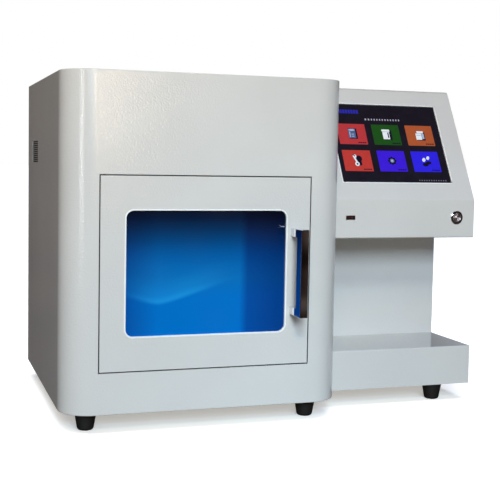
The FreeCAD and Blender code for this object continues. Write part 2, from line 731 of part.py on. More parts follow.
def around(x, z, size, extra="0"):
    """Left, low, right and high of a rectangle of that size round a point."""
    width, height = size
    return (
        f"{x} - {width}/2 - {extra}",
        f"{z} - {height}/2 - {extra}",
        f"{x} + {width}/2 + {extra}",
        f"{z} + {height}/2 + {extra}",
    )


def make_cover_screws():
    """Pan-head screws that hold the rear panel and the console's rear cover."""
    head_radius = "m_four"
    places = []
    for column in (
        "back_flange/2 + sheet_gauge/2",
        "cabinet_width - back_flange/2 - sheet_gauge/2",
        "cabinet_width + sheet_gauge + back_flange/2",
        f"{RIGHT_END} - sheet_gauge - back_flange/2",
    ):
        places += [(column, "cabinet_depth", rise) for rise in PANEL_SCREW_RISES]
    profile = (
        ("0", "-m_four*2"),
        ("m_four/2", "-m_four*2"),
        ("m_four/2", "0"),
        (head_radius, "0"),
        (head_radius, "m_four*0.35"),
        ("m_four*0.7", "m_four*0.6"),
        ("0", "m_four*0.6"),
    )
    screw = turning("cover_screw", profile)
    finish(copies("cover_screws", screw, places, Y))


def make_feet():
    """Conical rubber feet, each with a recess for its screw."""
    profile = (
        ("m_five/2 + running_fit", "0"),
        ("foot_top", "0"),
        ("foot_sole + (foot_top - foot_sole)*foot_round/foot_height", "foot_round - foot_height"),
        ("foot_sole - foot_round*0.3", "foot_round*0.3 - foot_height"),
        ("foot_sole - foot_round", "-foot_height"),
        ("foot_recess", "-foot_height"),
        ("foot_recess", "-foot_height/2"),
        ("m_five/2 + running_fit", "-foot_height/2"),
    )
    foot = turning("foot", profile)
    spots = CABINET_FEET + CONSOLE_FEET
    finish(copies("rubber_feet", foot, [(x, y, "0") for x, y in spots]))
    head = "m_five*0.85"
    shank = (
        ("0", "-foot_height/2 - m_five*0.6"),
        (head, "-foot_height/2 - m_five*0.6"),
        (head, "-foot_height/2"),
        ("m_five/2", "-foot_height/2"),
        ("m_five/2", "sheet_gauge + m_five*1.4"),
        ("0", "sheet_gauge + m_five*1.4"),
    )
    screw = turning("foot_screw", shank)
    bore = "m_five/2 + running_fit"
    nut_profile = (
        (bore, "sheet_gauge"),
        ("m_five*0.9", "sheet_gauge"),
        ("m_five*0.9", "sheet_gauge + m_five*0.8"),
        (bore, "sheet_gauge + m_five*0.8"),
    )
    nut = turning("rivet_nut", nut_profile)
    pairs = group("screw_and_nut", (screw, nut))
    finish(copies("foot_screws", pairs, [(x, y, "0") for x, y in spots]))


def make_dust_filter():
    """Black foam mat behind the side vent."""
    finish(
        box(
            "dust_filter",
            "filter_thickness",
            "louvre_length + 2*filter_margin",
            "louvre_pitch*(louvre_count - 1) + louvre_height + 2*filter_margin",
            "sheet_gauge",
            "cabinet_depth - louvre_back - louvre_length/2 - filter_margin",
            "louvre_bottom - filter_margin",
        )
    )


# --------------------------------------------------------------------------------
# Door opening, compartment
# --------------------------------------------------------------------------------


def beyond_opening(margin):
    """A rectangle that lies a margin outside the door's opening."""
    return (
        f"{OPEN_LEFT} - {margin}",
        f"{OPEN_BOTTOM} - {margin}",
        f"{OPEN_RIGHT} + {margin}",
        f"{OPEN_TOP} + {margin}",
    )


def make_door_jamb():
    """Welded frame behind the front sheet, from the opening to the compartment."""
    outside = beyond_opening("(jamb_margin + sheet_gauge)")
    body = plate("door_jamb", "XZ_Plane", outside, "sheet_gauge", f"{FLANGE_FRONT} - sheet_gauge")
    inside = beyond_opening("jamb_margin")
    opening(body, "jamb_hole", "XZ_Plane", inside, "0", f"{FLANGE_FRONT} + {THROUGH}")
    finish(body)


def make_compartment_liner():
    """Folded stainless box behind the door, with a flange that meets the jamb."""
    flange = beyond_opening("(jamb_margin + sheet_gauge)")
    body = plate("compartment_liner", "XZ_Plane", flange, FLANGE_FRONT, "sheet_gauge")
    walls = sketch(body, "liner_outline", "XZ_Plane", FLANGE_FRONT)
    rectangle(
        walls,
        f"{LINER_LEFT} - sheet_gauge",
        f"{LINER_FLOOR} - sheet_gauge",
        f"{LINER_RIGHT} + sheet_gauge",
        f"{LINER_CEILING} + sheet_gauge",
    )
    pad(body, "liner_walls", walls, "liner_depth + sheet_gauge")
    inside = (LINER_LEFT, LINER_FLOOR, LINER_RIGHT, LINER_CEILING)
    start = f"{FLANGE_FRONT} - {THROUGH}"
    opening(body, "liner_hollow", "XZ_Plane", inside, start, f"liner_depth + {THROUGH}")
    tubes = sketch(body, "liner_tube_outline", "XZ_Plane", f"{LINER_BACK} - {THROUGH}")
    for x in (SAMPLE_X, REFERENCE_X):
        circle(tubes, x, TUBE_RISE, "tube_radius + seat_gap")
    pocket(body, "liner_tube_holes", tubes, f"sheet_gauge + 2*{THROUGH}")
    finish(body)


def make_door_seal():
    """Hollow rubber profile round the compartment's mouth."""
    inset = "seat_gap"
    outside = (
        f"{LINER_LEFT} - {inset} - seal_width",
        f"{LINER_FLOOR} - {inset} - seal_width",
        f"{LINER_RIGHT} + {inset} + seal_width",
        f"{LINER_CEILING} + {inset} + seal_width",
    )
    inside = (
        f"{LINER_LEFT} - {inset}",
        f"{LINER_FLOOR} - {inset}",
        f"{LINER_RIGHT} + {inset}",
        f"{LINER_CEILING} + {inset}",
    )
    body = plate("door_seal", "XZ_Plane", outside, "door_depth + seal_relief", "seal_thickness")
    opening(body, "seal_hole", "XZ_Plane", inside, "door_depth", f"seal_relief + seal_thickness + {THROUGH}")
    finish(body)


def make_hinge_hardware():
    """Two brackets behind the opening's edge, and a pin in each."""
    left = f"{OPEN_LEFT} - jamb_margin"
    pieces = []
    for name, low in (("lower", f"{OPEN_BOTTOM} - jamb_margin"), ("upper", OPEN_TOP)):
        tab = box(f"{name}_tab", "bracket_length", "bracket_depth", "jamb_margin", left, "sheet_gauge", low)
        radius = "pivot_radius + running_fit"
        hole = rod(f"{name}_tab_hole", radius, "3*jamb_margin", PIVOT_X, "pivot_inset", f"{low} - jamb_margin")
        pieces.append(cut(f"{name}_bracket", tab, hole))
    finish(group("hinge_brackets", pieces))

    reach = "door_gap + jamb_margin + pivot_grip"
    lower = rod("lower_pin", "pivot_radius", reach, PIVOT_X, "pivot_inset", f"{OPEN_BOTTOM} - jamb_margin")
    upper = rod("upper_pin", "pivot_radius", reach, PIVOT_X, "pivot_inset", f"{DOOR_TOP} - pivot_grip")
    finish(group("hinge_pins", (lower, upper)))


def make_catch():
    """Magnetic catch on the compartment's right wall, and the door's strike plate."""
    finish(
        box(
            "magnetic_catch",
            "catch_width",
            "catch_depth",
            "catch_height",
            f"{LINER_RIGHT} - catch_width",
            "door_depth + strike_gauge + seat_gap",
            "door_rise - catch_height/2",
        )
    )
    finish(
        box(
            "strike_plate",
            "catch_width",
            "strike_gauge",
            "catch_height",
            f"{LINER_RIGHT} - catch_width",
            "door_depth",
            "door_rise - catch_height/2",
        )
    )


# --------------------------------------------------------------------------------
# Door
# --------------------------------------------------------------------------------


def window_rectangle(extra="0"):
    return around("door_middle", "door_rise", ("window_width", "window_height"), extra)


def make_door_shell():
    """Door pan: the front sheet with its four edges folded back."""
    outside = (DOOR_LEFT, DOOR_BOTTOM, DOOR_RIGHT, DOOR_TOP)
    pan = plate("door_pan", "XZ_Plane", outside, "0", "door_depth")
    inside = (
        f"{DOOR_LEFT} + sheet_gauge",
        f"{DOOR_BOTTOM} + sheet_gauge",
        f"{DOOR_RIGHT} - sheet_gauge",
        f"{DOOR_TOP} - sheet_gauge",
    )
    opening(pan, "pan_hollow", "XZ_Plane", inside, "sheet_gauge", "door_depth")
    opening(pan, "pan_window", "XZ_Plane", window_rectangle(), f"-{THROUGH}",
            f"sheet_gauge + 2*{THROUGH}", "window_corner")
    doc.recompute()
    before = pan.Tip
    rim = []
    reach = max(value("window_width"), value("window_height")) / 2
    for number, edge in enumerate(before.Shape.Edges, start=1):
        middle = edge.CenterOfMass
        inward = abs(middle.x - value("door_middle")) < reach + 1
        level = abs(middle.z - value("door_rise")) < value("window_height") / 2 + 1
        if near(edge.BoundBox.YMin, "0") and near(edge.BoundBox.YMax, "0") and inward and level:
            rim.append(f"Edge{number}")
    bevel = pan.newObject("PartDesign::Chamfer", "window_bevel_edge")
    bevel.Base = (before, rim)
    bind(bevel, Size="window_bevel")

    pin_radius = "pivot_radius + running_fit"
    pin_line = rod("pin_line", pin_radius, f"door_height + 2*{THROUGH}", PIVOT_X, "pivot_inset",
                   f"{DOOR_BOTTOM} - {THROUGH}")
    screw_radius = "m_four/2 + running_fit"
    holes = [
        rod(f"{name}_screw_hole", screw_radius, f"sheet_gauge + 2*{THROUGH}", HANDLE_X,
            f"-{THROUGH}", f"door_rise {sign} handle_centres/2", Y)
        for name, sign in (("lower", "-"), ("upper", "+"))
    ]
    finish(cut("door_shell", pan, pin_line, *holes))


def make_door_back_panel():
    """Flat panel that closes the pan, with the window's opening in it."""
    clearance = "(sheet_gauge + running_fit)"
    outside = (
        f"{DOOR_LEFT} + {clearance}",
        f"{DOOR_BOTTOM} + {clearance}",
        f"{DOOR_RIGHT} - {clearance}",
        f"{DOOR_TOP} - {clearance}",
    )
    body = plate("door_back_panel", "XZ_Plane", outside, "door_depth - sheet_gauge", "sheet_gauge")
    opening(body, "back_window", "XZ_Plane", window_rectangle(), "door_depth - sheet_gauge - 1",
            f"sheet_gauge + {THROUGH}", "window_corner")
    finish(body)


def make_window():
    """Rubber gasket, tinted pane and the frame that clamps the pane."""
    lap = "pane_lap"
    gasket = plate("window_gasket", "XZ_Plane", window_rectangle(lap), "sheet_gauge", "gasket_thickness")
    opening(gasket, "gasket_hole", "XZ_Plane", window_rectangle(), "0",
            f"{PANE_FRONT} + {THROUGH}", "window_corner")
    finish(gasket)
    pane = plate("window_pane", "XZ_Plane", window_rectangle(lap), PANE_FRONT, "pane_thickness")
    finish(pane)
    depth = f"door_depth - sheet_gauge - {PANE_BACK}"
    frame = plate("window_retainer", "XZ_Plane", window_rectangle(lap), PANE_BACK, depth)
    opening(frame, "retainer_hole", "XZ_Plane", window_rectangle(), f"{PANE_BACK} - 1",
            "door_depth", "window_corner")
    finish(frame)


def make_door_handle():
    """Chrome bow handle of square section, and the two screws that hold it."""
    bow = new_body("handle_bow")
    drawing = sketch(bow, "bow_outline", "YZ_Plane", f"{HANDLE_X} - handle_width/2")
    low = "door_rise - handle_centres/2 - handle_width/2"
    high = "door_rise + handle_centres/2 + handle_width/2"
    inner_low = "door_rise - handle_centres/2 + handle_width/2"
    inner_high = "door_rise + handle_centres/2 - handle_width/2"
    bar_back = "handle_bar - handle_reach"
    outline(drawing, (
        ("0", low),
        ("0", inner_low),
        (bar_back, inner_low),
        (bar_back, inner_high),
        ("0", inner_high),
        ("0", high),
        ("-handle_reach", high),
        ("-handle_reach", low),
    ))
    pad(bow, "bow_pad", drawing, "handle_width")
    ends = (("0", "-handle_reach", low), ("0", "-handle_reach", high))
    round_edges(bow, "bow_ends", X, ends, "handle_round")
    sides = ((f"{HANDLE_X} - handle_width/2", "-handle_reach", "0"),
             (f"{HANDLE_X} + handle_width/2", "-handle_reach", "0"))
    round_edges(bow, "bow_sides", Z, sides, "handle_round*0.9")
    depth = "handle_reach/2"
    threads = [
        rod(f"{name}_thread", "m_four/2 + running_fit", depth, HANDLE_X, f"-{depth}",
            f"door_rise {sign} handle_centres/2", Y)
        for name, sign in (("lower", "-"), ("upper", "+"))
    ]
    finish(cut("door_handle", bow, *threads))

    profile = (
        ("0", "-handle_reach*0.4"),
        ("m_four/2", "-handle_reach*0.4"),
        ("m_four/2", "sheet_gauge"),
        ("m_four", "sheet_gauge"),
        ("m_four", "sheet_gauge + m_four*0.6"),
        ("0", "sheet_gauge + m_four*0.6"),
    )
    screw = turning("handle_screw", profile)
    places = [(HANDLE_X, "0", f"door_rise {sign} handle_centres/2") for sign in "-+"]
    finish(copies("handle_screws", screw, places, Y))


def make_hinge_bushings():
    """Nylon bushings inside the door's top and bottom edges."""
    pieces = []
    bore = "pivot_radius + running_fit"
    length = "(pivot_grip - sheet_gauge)"
    for name, low in (
        ("lower", f"{DOOR_BOTTOM} + sheet_gauge"),
        ("upper", f"{DOOR_TOP} - pivot_grip"),
    ):
        body = rod(f"{name}_bushing_rod", f"{bore} + pivot_wall", length, PIVOT_X, "pivot_inset", low)
        hole = rod(f"{name}_bushing_bore", bore, f"2*{length}", PIVOT_X, "pivot_inset", f"{low} - {length}/2")
        pieces.append(cut(f"{name}_bushing", body, hole))
    finish(group("hinge_bushings", pieces))


# --------------------------------------------------------------------------------
# Sample chamber and gas side
# --------------------------------------------------------------------------------


def make_chambers():
    """Base block, sample chamber, its seal, cap and cup, and the reference chamber."""
    finish(
        box("chamber_base", "base_width", "base_depth", "base_height",
            "door_middle - base_width/2", f"{BASE_MIDDLE} - base_depth/2", LINER_FLOOR)
    )

    groove = "(ring_cord + running_fit)"
    chamber = turning("sample_chamber", (
        ("0", "0"),
        ("chamber_radius", "0"),
        ("chamber_radius", "chamber_height"),
        (f"ring_radius + {groove}", "chamber_height"),
        (f"ring_radius + {groove}", "chamber_height - 2*ring_cord + seat_gap/2"),
        (f"ring_radius - {groove}", "chamber_height - 2*ring_cord + seat_gap/2"),
        (f"ring_radius - {groove}", "chamber_height"),
        ("bore_radius", "chamber_height"),
        ("bore_radius", "chamber_height - bore_depth"),
        ("0", "chamber_height - bore_depth"),
    ))
    finish(chamber, at=(SAMPLE_X, BASE_MIDDLE, BASE_TOP))

    ring = doc.addObject("Part::Torus", "chamber_seal")
    bind(ring, Radius1="ring_radius", Radius2="ring_cord")
    finish(ring, at=(SAMPLE_X, BASE_MIDDLE, f"{CHAMBER_TOP} - ring_cord + seat_gap/2"))

    bore = "(chamber_radius + cap_clearance)"
    cap = turning("cap_blank", (
        ("0", "seat_gap"),
        (bore, "seat_gap"),
        (bore, "-cap_skirt"),
        (f"{bore} + cap_wall", "-cap_skirt"),
        (f"{bore} + cap_wall", "cap_top - cap_bevel"),
        (f"{bore} + cap_wall - cap_bevel", "cap_top"),
        ("0", "cap_top"),
    ))
    flute = sketch(cap, "flute_outline", "XY_Plane", f"-cap_skirt - {THROUGH}")
    circle(flute, f"{bore} + cap_wall + flute_radius/2", "0", "flute_radius")
    first = pocket(cap, "flute", flute, f"cap_skirt + cap_top + 2*{THROUGH}")
    doc.recompute()
    grip = cap.newObject("PartDesign::PolarPattern", "flutes")
    grip.Originals = [first]
    grip.Axis = (flute, ["N_Axis"])
    grip.Angle = 360
    bind(grip, Occurrences="cap_flutes")
    cap.Tip = grip
    finish(cap, "chamber_cap", at=(SAMPLE_X, BASE_MIDDLE, CHAMBER_TOP))

    cup = turning("sample_cup", (
        ("0", "0"),
        ("cup_radius", "0"),
        ("cup_radius", "cup_height"),
        ("cup_radius - cup_wall", "cup_height"),
        ("cup_radius - cup_wall", "cup_wall"),
        ("0", "cup_wall"),
    ))
    finish(cup, at=(SAMPLE_X, BASE_MIDDLE, f"{CHAMBER_TOP} - bore_depth"))

    lid = "reference_radius*0.15"
    reference = turning("reference_chamber", (
        ("0", "0"),
        (f"reference_radius - {lid}", "0"),
        (f"reference_radius - {lid}", f"reference_height - 2*{lid}"),
        ("reference_radius", f"reference_height - 2*{lid}"),
        ("reference_radius", "reference_height"),
        ("0", "reference_height"),
    ))
    finish(reference, at=(REFERENCE_X, BASE_MIDDLE, BASE_TOP))


def make_gas_side():
    """Manifold on the compartment's back wall with its valves and sensor."""
    left = "door_middle - manifold_width/2"
    finish(box("gas_manifold", "manifold_width", "manifold_depth", "manifold_height",
               left, LINER_REAR, "manifold_rise"))

    pieces = []
    for number in range(int(value("valve_count"))):
        x = f"(door_middle + ({number} - (valve_count - 1)/2)*valve_pitch)"
        coil = box(f"coil_{number}", "valve_side", "valve_side", "valve_height",
                   f"{x} - valve_side/2", f"{MANIFOLD_MIDDLE} - valve_side/2", f"{MANIFOLD_TOP} + valve_stand")
        stem = rod(f"stem_{number}", "valve_side*0.35", "valve_stand + valve_height", x,
                   MANIFOLD_MIDDLE, MANIFOLD_TOP)
        nut = hexagon(f"stem_nut_{number}", "valve_side*0.3", "valve_nut", x, MANIFOLD_MIDDLE,
                      f"{MANIFOLD_TOP} + valve_stand + valve_height")
        pieces.append(fuse(f"valve_{number}", coil, stem, nut))
    finish(group("solenoid_valves", pieces))

    right = "door_middle + manifold_width/2"
    rise = "manifold_rise + manifold_height/2"
    sensor_end = f"{right} + sensor_nut + sensor_length"
    body = rod("sensor_body", "manifold_height*0.32", "sensor_length", f"{right} + sensor_nut",
               MANIFOLD_MIDDLE, rise, X)
    hexa = hexagon("sensor_hex", "manifold_height*0.36", "sensor_nut", right, MANIFOLD_MIDDLE, rise, X)
    plug = rod("sensor_plug", "manifold_height*0.2", "plug_length", sensor_end, MANIFOLD_MIDDLE, rise, X)
    finish(fuse("pressure_sensor", body, hexa, plug))

    relief_hex = hexagon("relief_hex", "manifold_height*0.28", "sensor_nut", f"{left} - sensor_nut",
                         MANIFOLD_MIDDLE, rise, X)
    relief_rod = rod("relief_rod", "manifold_height*0.2", "relief_length",
                     f"{left} - sensor_nut - relief_length", MANIFOLD_MIDDLE, rise, X)
    finish(fuse("relief_valve", relief_hex, relief_rod))

    ports = []
    for name, rise in (("inlet", "inlet_rise"), ("vent", "vent_rise")):
        at = ("port_column", "cabinet_depth", rise)
        hexa = hexagon(f"{name}_hex", "port_barrel*1.6", "port_hex", *at, Y)
        stub = rod(f"{name}_stub", "port_radius", "port_reach", *at, Y)
        inner = "port_barrel*2.4"
        barrel = rod(f"{name}_barrel", "port_barrel", inner, "port_column", f"cabinet_depth - {inner}", rise, Y)
        nut = hexagon(f"{name}_nut", "port_barrel*1.6", "port_hex", "port_column",
                      f"{BACK_INSIDE} - port_hex", rise, Y)
        solid = fuse(f"{name}_solid", hexa, stub, barrel, nut)
        bore = rod(f"{name}_bore", "tube_radius + running_fit", "port_reach + port_barrel*2.4 + 2",
                   "port_column", "cabinet_depth - port_barrel*2.4 - 1", rise, Y)
        ports.append(cut(f"{name}_port", solid, bore))
    finish(group("gas_ports", ports))


def tube(name, points):
    """A gas tube along straight runs joined by tangent arcs of the tube's bend radius."""
    corners = [FreeCAD.Vector(*(value(c) for c in point)) for point in points]
    radius = value("tube_radius")
    bend = value("tube_bend")
    edges = []
    start = corners[0]
    for before, corner, after in zip(corners, corners[1:], corners[2:]):
        incoming = (corner - before).normalize()
        outgoing = (after - corner).normalize()
        entry = corner - incoming * bend
        leave = corner + outgoing * bend
        centre = entry + outgoing * bend
        middle = centre + (corner - centre).normalize() * bend
        edges.append(Part.LineSegment(start, entry).toShape())
        edges.append(Part.Arc(entry, middle, leave).toShape())
        start = leave
    edges.append(Part.LineSegment(start, corners[-1]).toShape())
    route = Part.Wire(edges)
    ring = Part.Wire([Part.makeCircle(radius, corners[0], corners[1] - corners[0])])
    thing = doc.addObject("Part::Feature", name)
    thing.Shape = route.makePipeShell([ring], True, True)
    return thing


def make_tubes():
    """Right-angled stainless tubes between chambers, manifold and gas ports."""
    base_back = f"({BASE_MIDDLE} + base_depth/2)"
    pieces = []
    for name, x in (("sample", SAMPLE_X), ("reference", REFERENCE_X)):
        pieces.append(tube(f"{name}_tube", (
            (x, base_back, TUBE_RISE),
            (x, MANIFOLD_MIDDLE, TUBE_RISE),
            (x, MANIFOLD_MIDDLE, "manifold_rise"),
        )))
    manifold_back = f"({LINER_REAR} + manifold_depth)"
    rise = "(manifold_rise + manifold_height/2)"
    port_front = "(cabinet_depth - port_barrel*2.4)"
    for name, column, level, reach in (
        ("inlet_tube", "(door_middle + manifold_width/4)", "inlet_rise", "0.45"),
        ("vent_tube", "(door_middle - manifold_width/4)", "vent_rise", "0.6"),
    ):
        lane = f"({manifold_back} + ({port_front} - {manifold_back})*{reach})"
        pieces.append(tube(name, (
            (column, manifold_back, rise),
            (column, lane, rise),
            ("port_column", lane, rise),
            ("port_column", lane, level),
            ("port_column", port_front, level),
        )))
    finish(group("gas_tubes", pieces))


# --------------------------------------------------------------------------------
# Power, control and cooling
# --------------------------------------------------------------------------------


def make_mains():
    """Mains inlet with its three pins, and the rocker switch beside it."""
    x, z = "inlet_column", "mains_rise"
    left, low, right, high = around(x, z, INLET_BODY)
    body = box("inlet_block", INLET_BODY[0], "inlet_depth", INLET_BODY[1],
               left, "cabinet_depth - inlet_depth", low)
    rim = box("inlet_rim", "inlet_width + 2*inlet_margin", "inlet_margin", "inlet_height + 2*inlet_margin",
              f"{left} - inlet_margin", "cabinet_depth", f"{low} - inlet_margin")
    floor = "cabinet_depth + inlet_margin - inlet_recess"
    recess = box("inlet_recess_box", "inlet_width - 2*inlet_wall", f"inlet_recess + {THROUGH}",
                 "inlet_height - 2*inlet_wall", f"{left} + inlet_wall", floor, f"{low} + inlet_wall")
    housing = cut("inlet_housing", fuse("inlet_solid", body, rim), recess)
    pins = [
        box(f"{name}_pin", "pin_width", "pin_length", "pin_height",
            f"{x} + {side}*pin_side - pin_width/2", floor, f"{z} + {up}*pin_offset - pin_height/2")
        for name, side, up in (("line", -1, -1), ("neutral", 1, -1), ("earth", 0, 1))
    ]
    finish(group("mains_inlet", [housing, *pins]))

    x = "switch_column"
    left, low, right, high = around(x, z, SWITCH_BODY)
    body = box("switch_block", SWITCH_BODY[0], "switch_depth", SWITCH_BODY[1],
               left, "cabinet_depth - switch_depth", low)
    rim = box("switch_rim", "switch_width + 2*switch_margin", "inlet_margin", "switch_height + 2*switch_margin",
              f"{left} - switch_margin", "cabinet_depth", f"{low} - switch_margin")
    left, low, right, high = around(x, z, ("well_width", "well_height"))
    well = box("switch_well_box", "well_width", f"well_depth + inlet_margin + {THROUGH}", "well_height",
               left, "cabinet_depth - well_depth", low)
    finish(cut("switch_housing", fuse("switch_solid", body, rim), well))


def make_rocker():
    """Two-lobed rocker of the mains switch; it tips about a cross axis."""
    body = new_body("mains_rocker")
    drawing = sketch(body, "rocker_outline", "YZ_Plane", "seat_gap - well_width/2")
    outline(drawing, (
        ("-rocker_heel", "-rocker_heel"),
        ("-rocker_heel", "rocker_heel"),
        ("-rocker_heel/2", "rocker_lobe"),
        ("rocker_stand", "rocker_lobe"),
        ("rocker_stand - rocker_dip", "0"),
        ("rocker_stand", "-rocker_lobe"),
        ("-rocker_heel/2", "-rocker_lobe"),
    ))
    pad(body, "rocker_pad", drawing, "well_width - 2*seat_gap")
    body.Placement = FreeCAD.Placement(FreeCAD.Vector(), FreeCAD.Rotation(X, 1))
    bind(body, Placement__Rotation__Angle="-rocker_tilt")
    finish(body, at=("switch_column", "cabinet_depth", "mains_rise"))


def make_power_and_control():
    """Enclosed power supply on the floor and the control board over the compartment."""
    bottom = "sheet_gauge"
    case = box("supply_case", "supply_length", "supply_depth", "supply_height",
               "supply_left", f"{BACK_INSIDE} - supply_depth - supply_back", bottom)
    terminals = box("supply_terminals", "terminal_length", "supply_depth*0.7", "supply_height*0.4",
                    "supply_left - terminal_length",
                    f"{BACK_INSIDE} - supply_depth*0.85 - supply_back", f"{bottom} + supply_height*0.07")
    finish(fuse("power_supply", case, terminals))

    top = f"({LINER_CEILING} + sheet_gauge)"
    left = "(door_middle - board_width/2)"
    front = f"({FLANGE_FRONT} + liner_depth/2 - board_depth/2)"
    corners = [
        (f"{left} + {sx}*board_width + {1 - 2 * sx}*board_inset",
         f"{front} + {sy}*board_depth + {1 - 2 * sy}*board_inset")
        for sx in (0, 1)
        for sy in (0, 1)
    ]
    pillars = [
        rod(f"board_pillar_{i}", "standoff_radius", "standoff_height", x, y, top)
        for i, (x, y) in enumerate(corners)
    ]
    finish(group("board_standoffs", pillars))
    level = f"({top} + standoff_height)"
    board = box("board_sheet", "board_width", "board_depth", "board_gauge", left, front, level)
    on_top = f"{level} + board_gauge"
    parts = [board]
    # Shares of the board's width and depth for place and size, and of the tallest part.
    for i, (across, back, length, width, tall) in enumerate((
        (0.11, 0.17, 0.14, 0.18, 0.20),
        (0.36, 0.18, 0.09, 0.12, 0.15),
        (0.56, 0.13, 0.25, 0.15, 1.00),
        (0.12, 0.58, 0.08, 0.25, 0.70),
        (0.27, 0.62, 0.08, 0.25, 0.70),
        (0.60, 0.50, 0.16, 0.28, 0.55),
        (0.81, 0.25, 0.10, 0.50, 0.85),
    )):
        parts.append(box(f"board_chip_{i}", f"board_width*{length}", f"board_depth*{width}",
                         f"tall_part*{tall}", f"{left} + board_width*{across}",
                         f"{front} + board_depth*{back}", on_top))
    for i in range(3):
        parts.append(rod(f"board_can_{i}", "can_radius", "can_height",
                         f"{left} + board_width*(0.45 + 0.09*{i})", f"{front} + board_depth*0.84", on_top))
    finish(fuse("control_board", *parts))


def make_fan():
    """Axial fan inside the rear panel: a square frame with struts, and the rotor."""
    front = f"({BACK_INSIDE} - fan_depth)"
    block = box("fan_block", "fan_side", "fan_depth", "fan_side", "fan_column - fan_side/2", front,
                "fan_rise - fan_side/2")
    tunnel = rod("fan_tunnel", "fan_bore", "fan_depth + 2", "fan_column", f"{front} - 1", "fan_rise", Y)
    ring = cut("fan_ring", block, tunnel)
    struts = [
        box("fan_strut_level", "fan_side - strut_width", "strut_gauge", "strut_width",
            "fan_column - fan_side/2 + strut_width/2", front, "fan_rise - strut_width/2"),
        box("fan_strut_upright", "strut_width", "strut_gauge", "fan_side - strut_width",
            "fan_column - strut_width/2", front, "fan_rise - fan_side/2 + strut_width/2"),
        rod("fan_motor", "fan_hub*0.9", "motor_depth", "fan_column", front, "fan_rise", Y),
    ]
    spindle = rod("fan_spindle", "spindle_radius", "rotor_length", "fan_column",
                  f"{front} + strut_gauge/2", "fan_rise", Y)
    finish(fuse("fan_frame", ring, *struts, spindle))

    rotor = new_body("fan_rotor")
    hub = sketch(rotor, "hub_outline", "XY_Plane")
    circle(hub, "0", "0", "fan_hub")
    circle(hub, "0", "0", "spindle_radius + running_fit")
    pad(rotor, "hub_pad", hub, "rotor_length")
    blade = sketch(rotor, "blade_outline", "XY_Plane", "blade_gauge/2")
    rectangle(blade, "fan_hub - blade_gauge", "-blade_gauge/2", "fan_bore - blade_gap", "blade_gauge/2")
    first = pad(rotor, "blade", blade, "rotor_length - blade_gauge")
    doc.recompute()
    ring_of = rotor.newObject("PartDesign::PolarPattern", "blades")
    ring_of.Originals = [first]
    ring_of.Axis = (blade, ["N_Axis"])
    ring_of.Angle = 360
    bind(ring_of, Occurrences="fan_blades")
    rotor.Tip = ring_of
    rotor.Placement = FreeCAD.Placement(FreeCAD.Vector(), FreeCAD.Rotation(Z, Y))
    finish(rotor, at=("fan_column", f"{front} + motor_depth + seat_gap", "fan_rise"))


# --------------------------------------------------------------------------------
# Console
# --------------------------------------------------------------------------------


def console_block(name, start, length):
    """The console's C-shaped side view, extruded."""
    body = new_body(name)
    drawing = sketch(body, name + "_outline", "YZ_Plane", start)
    outline(drawing, (
        ("console_front", "0"),
        ("cabinet_depth", "0"),
        ("cabinet_depth", "cabinet_height"),
        ("slope_top", "cabinet_height"),
        ("console_front", "bend_height"),
        ("console_front", "head_bottom"),
        ("column_front", "head_bottom"),
        ("column_front", "plinth_height"),
        ("console_front", "plinth_height"),
    ))
    pad(body, name + "_pad", drawing, length)
    top_bend = (("0", "slope_top", "cabinet_height"),)
    round_edges(body, name + "_top_bend", X, top_bend, "top_round")
    foot_bend = (("0", "console_front", "bend_height"),)
    round_edges(body, name + "_foot_bend", X, foot_bend, "bend_round")
    small = (
        ("0", "console_front", "plinth_height"),
        ("0", "console_front", "head_bottom"),
    )
    round_edges(body, name + "_bends", X, small, "console_round")
    return body


def thin_out(body, name, test):
    """Leaves a block as a sheet, open at the faces that pass the test."""
    doc.recompute()
    before = body.Tip
    shell = body.newObject("PartDesign::Thickness", name)
    shell.Base = (before, faces_where(before.Shape, test))
    shell.Reversed = True
    bind(shell, Value="sheet_gauge")


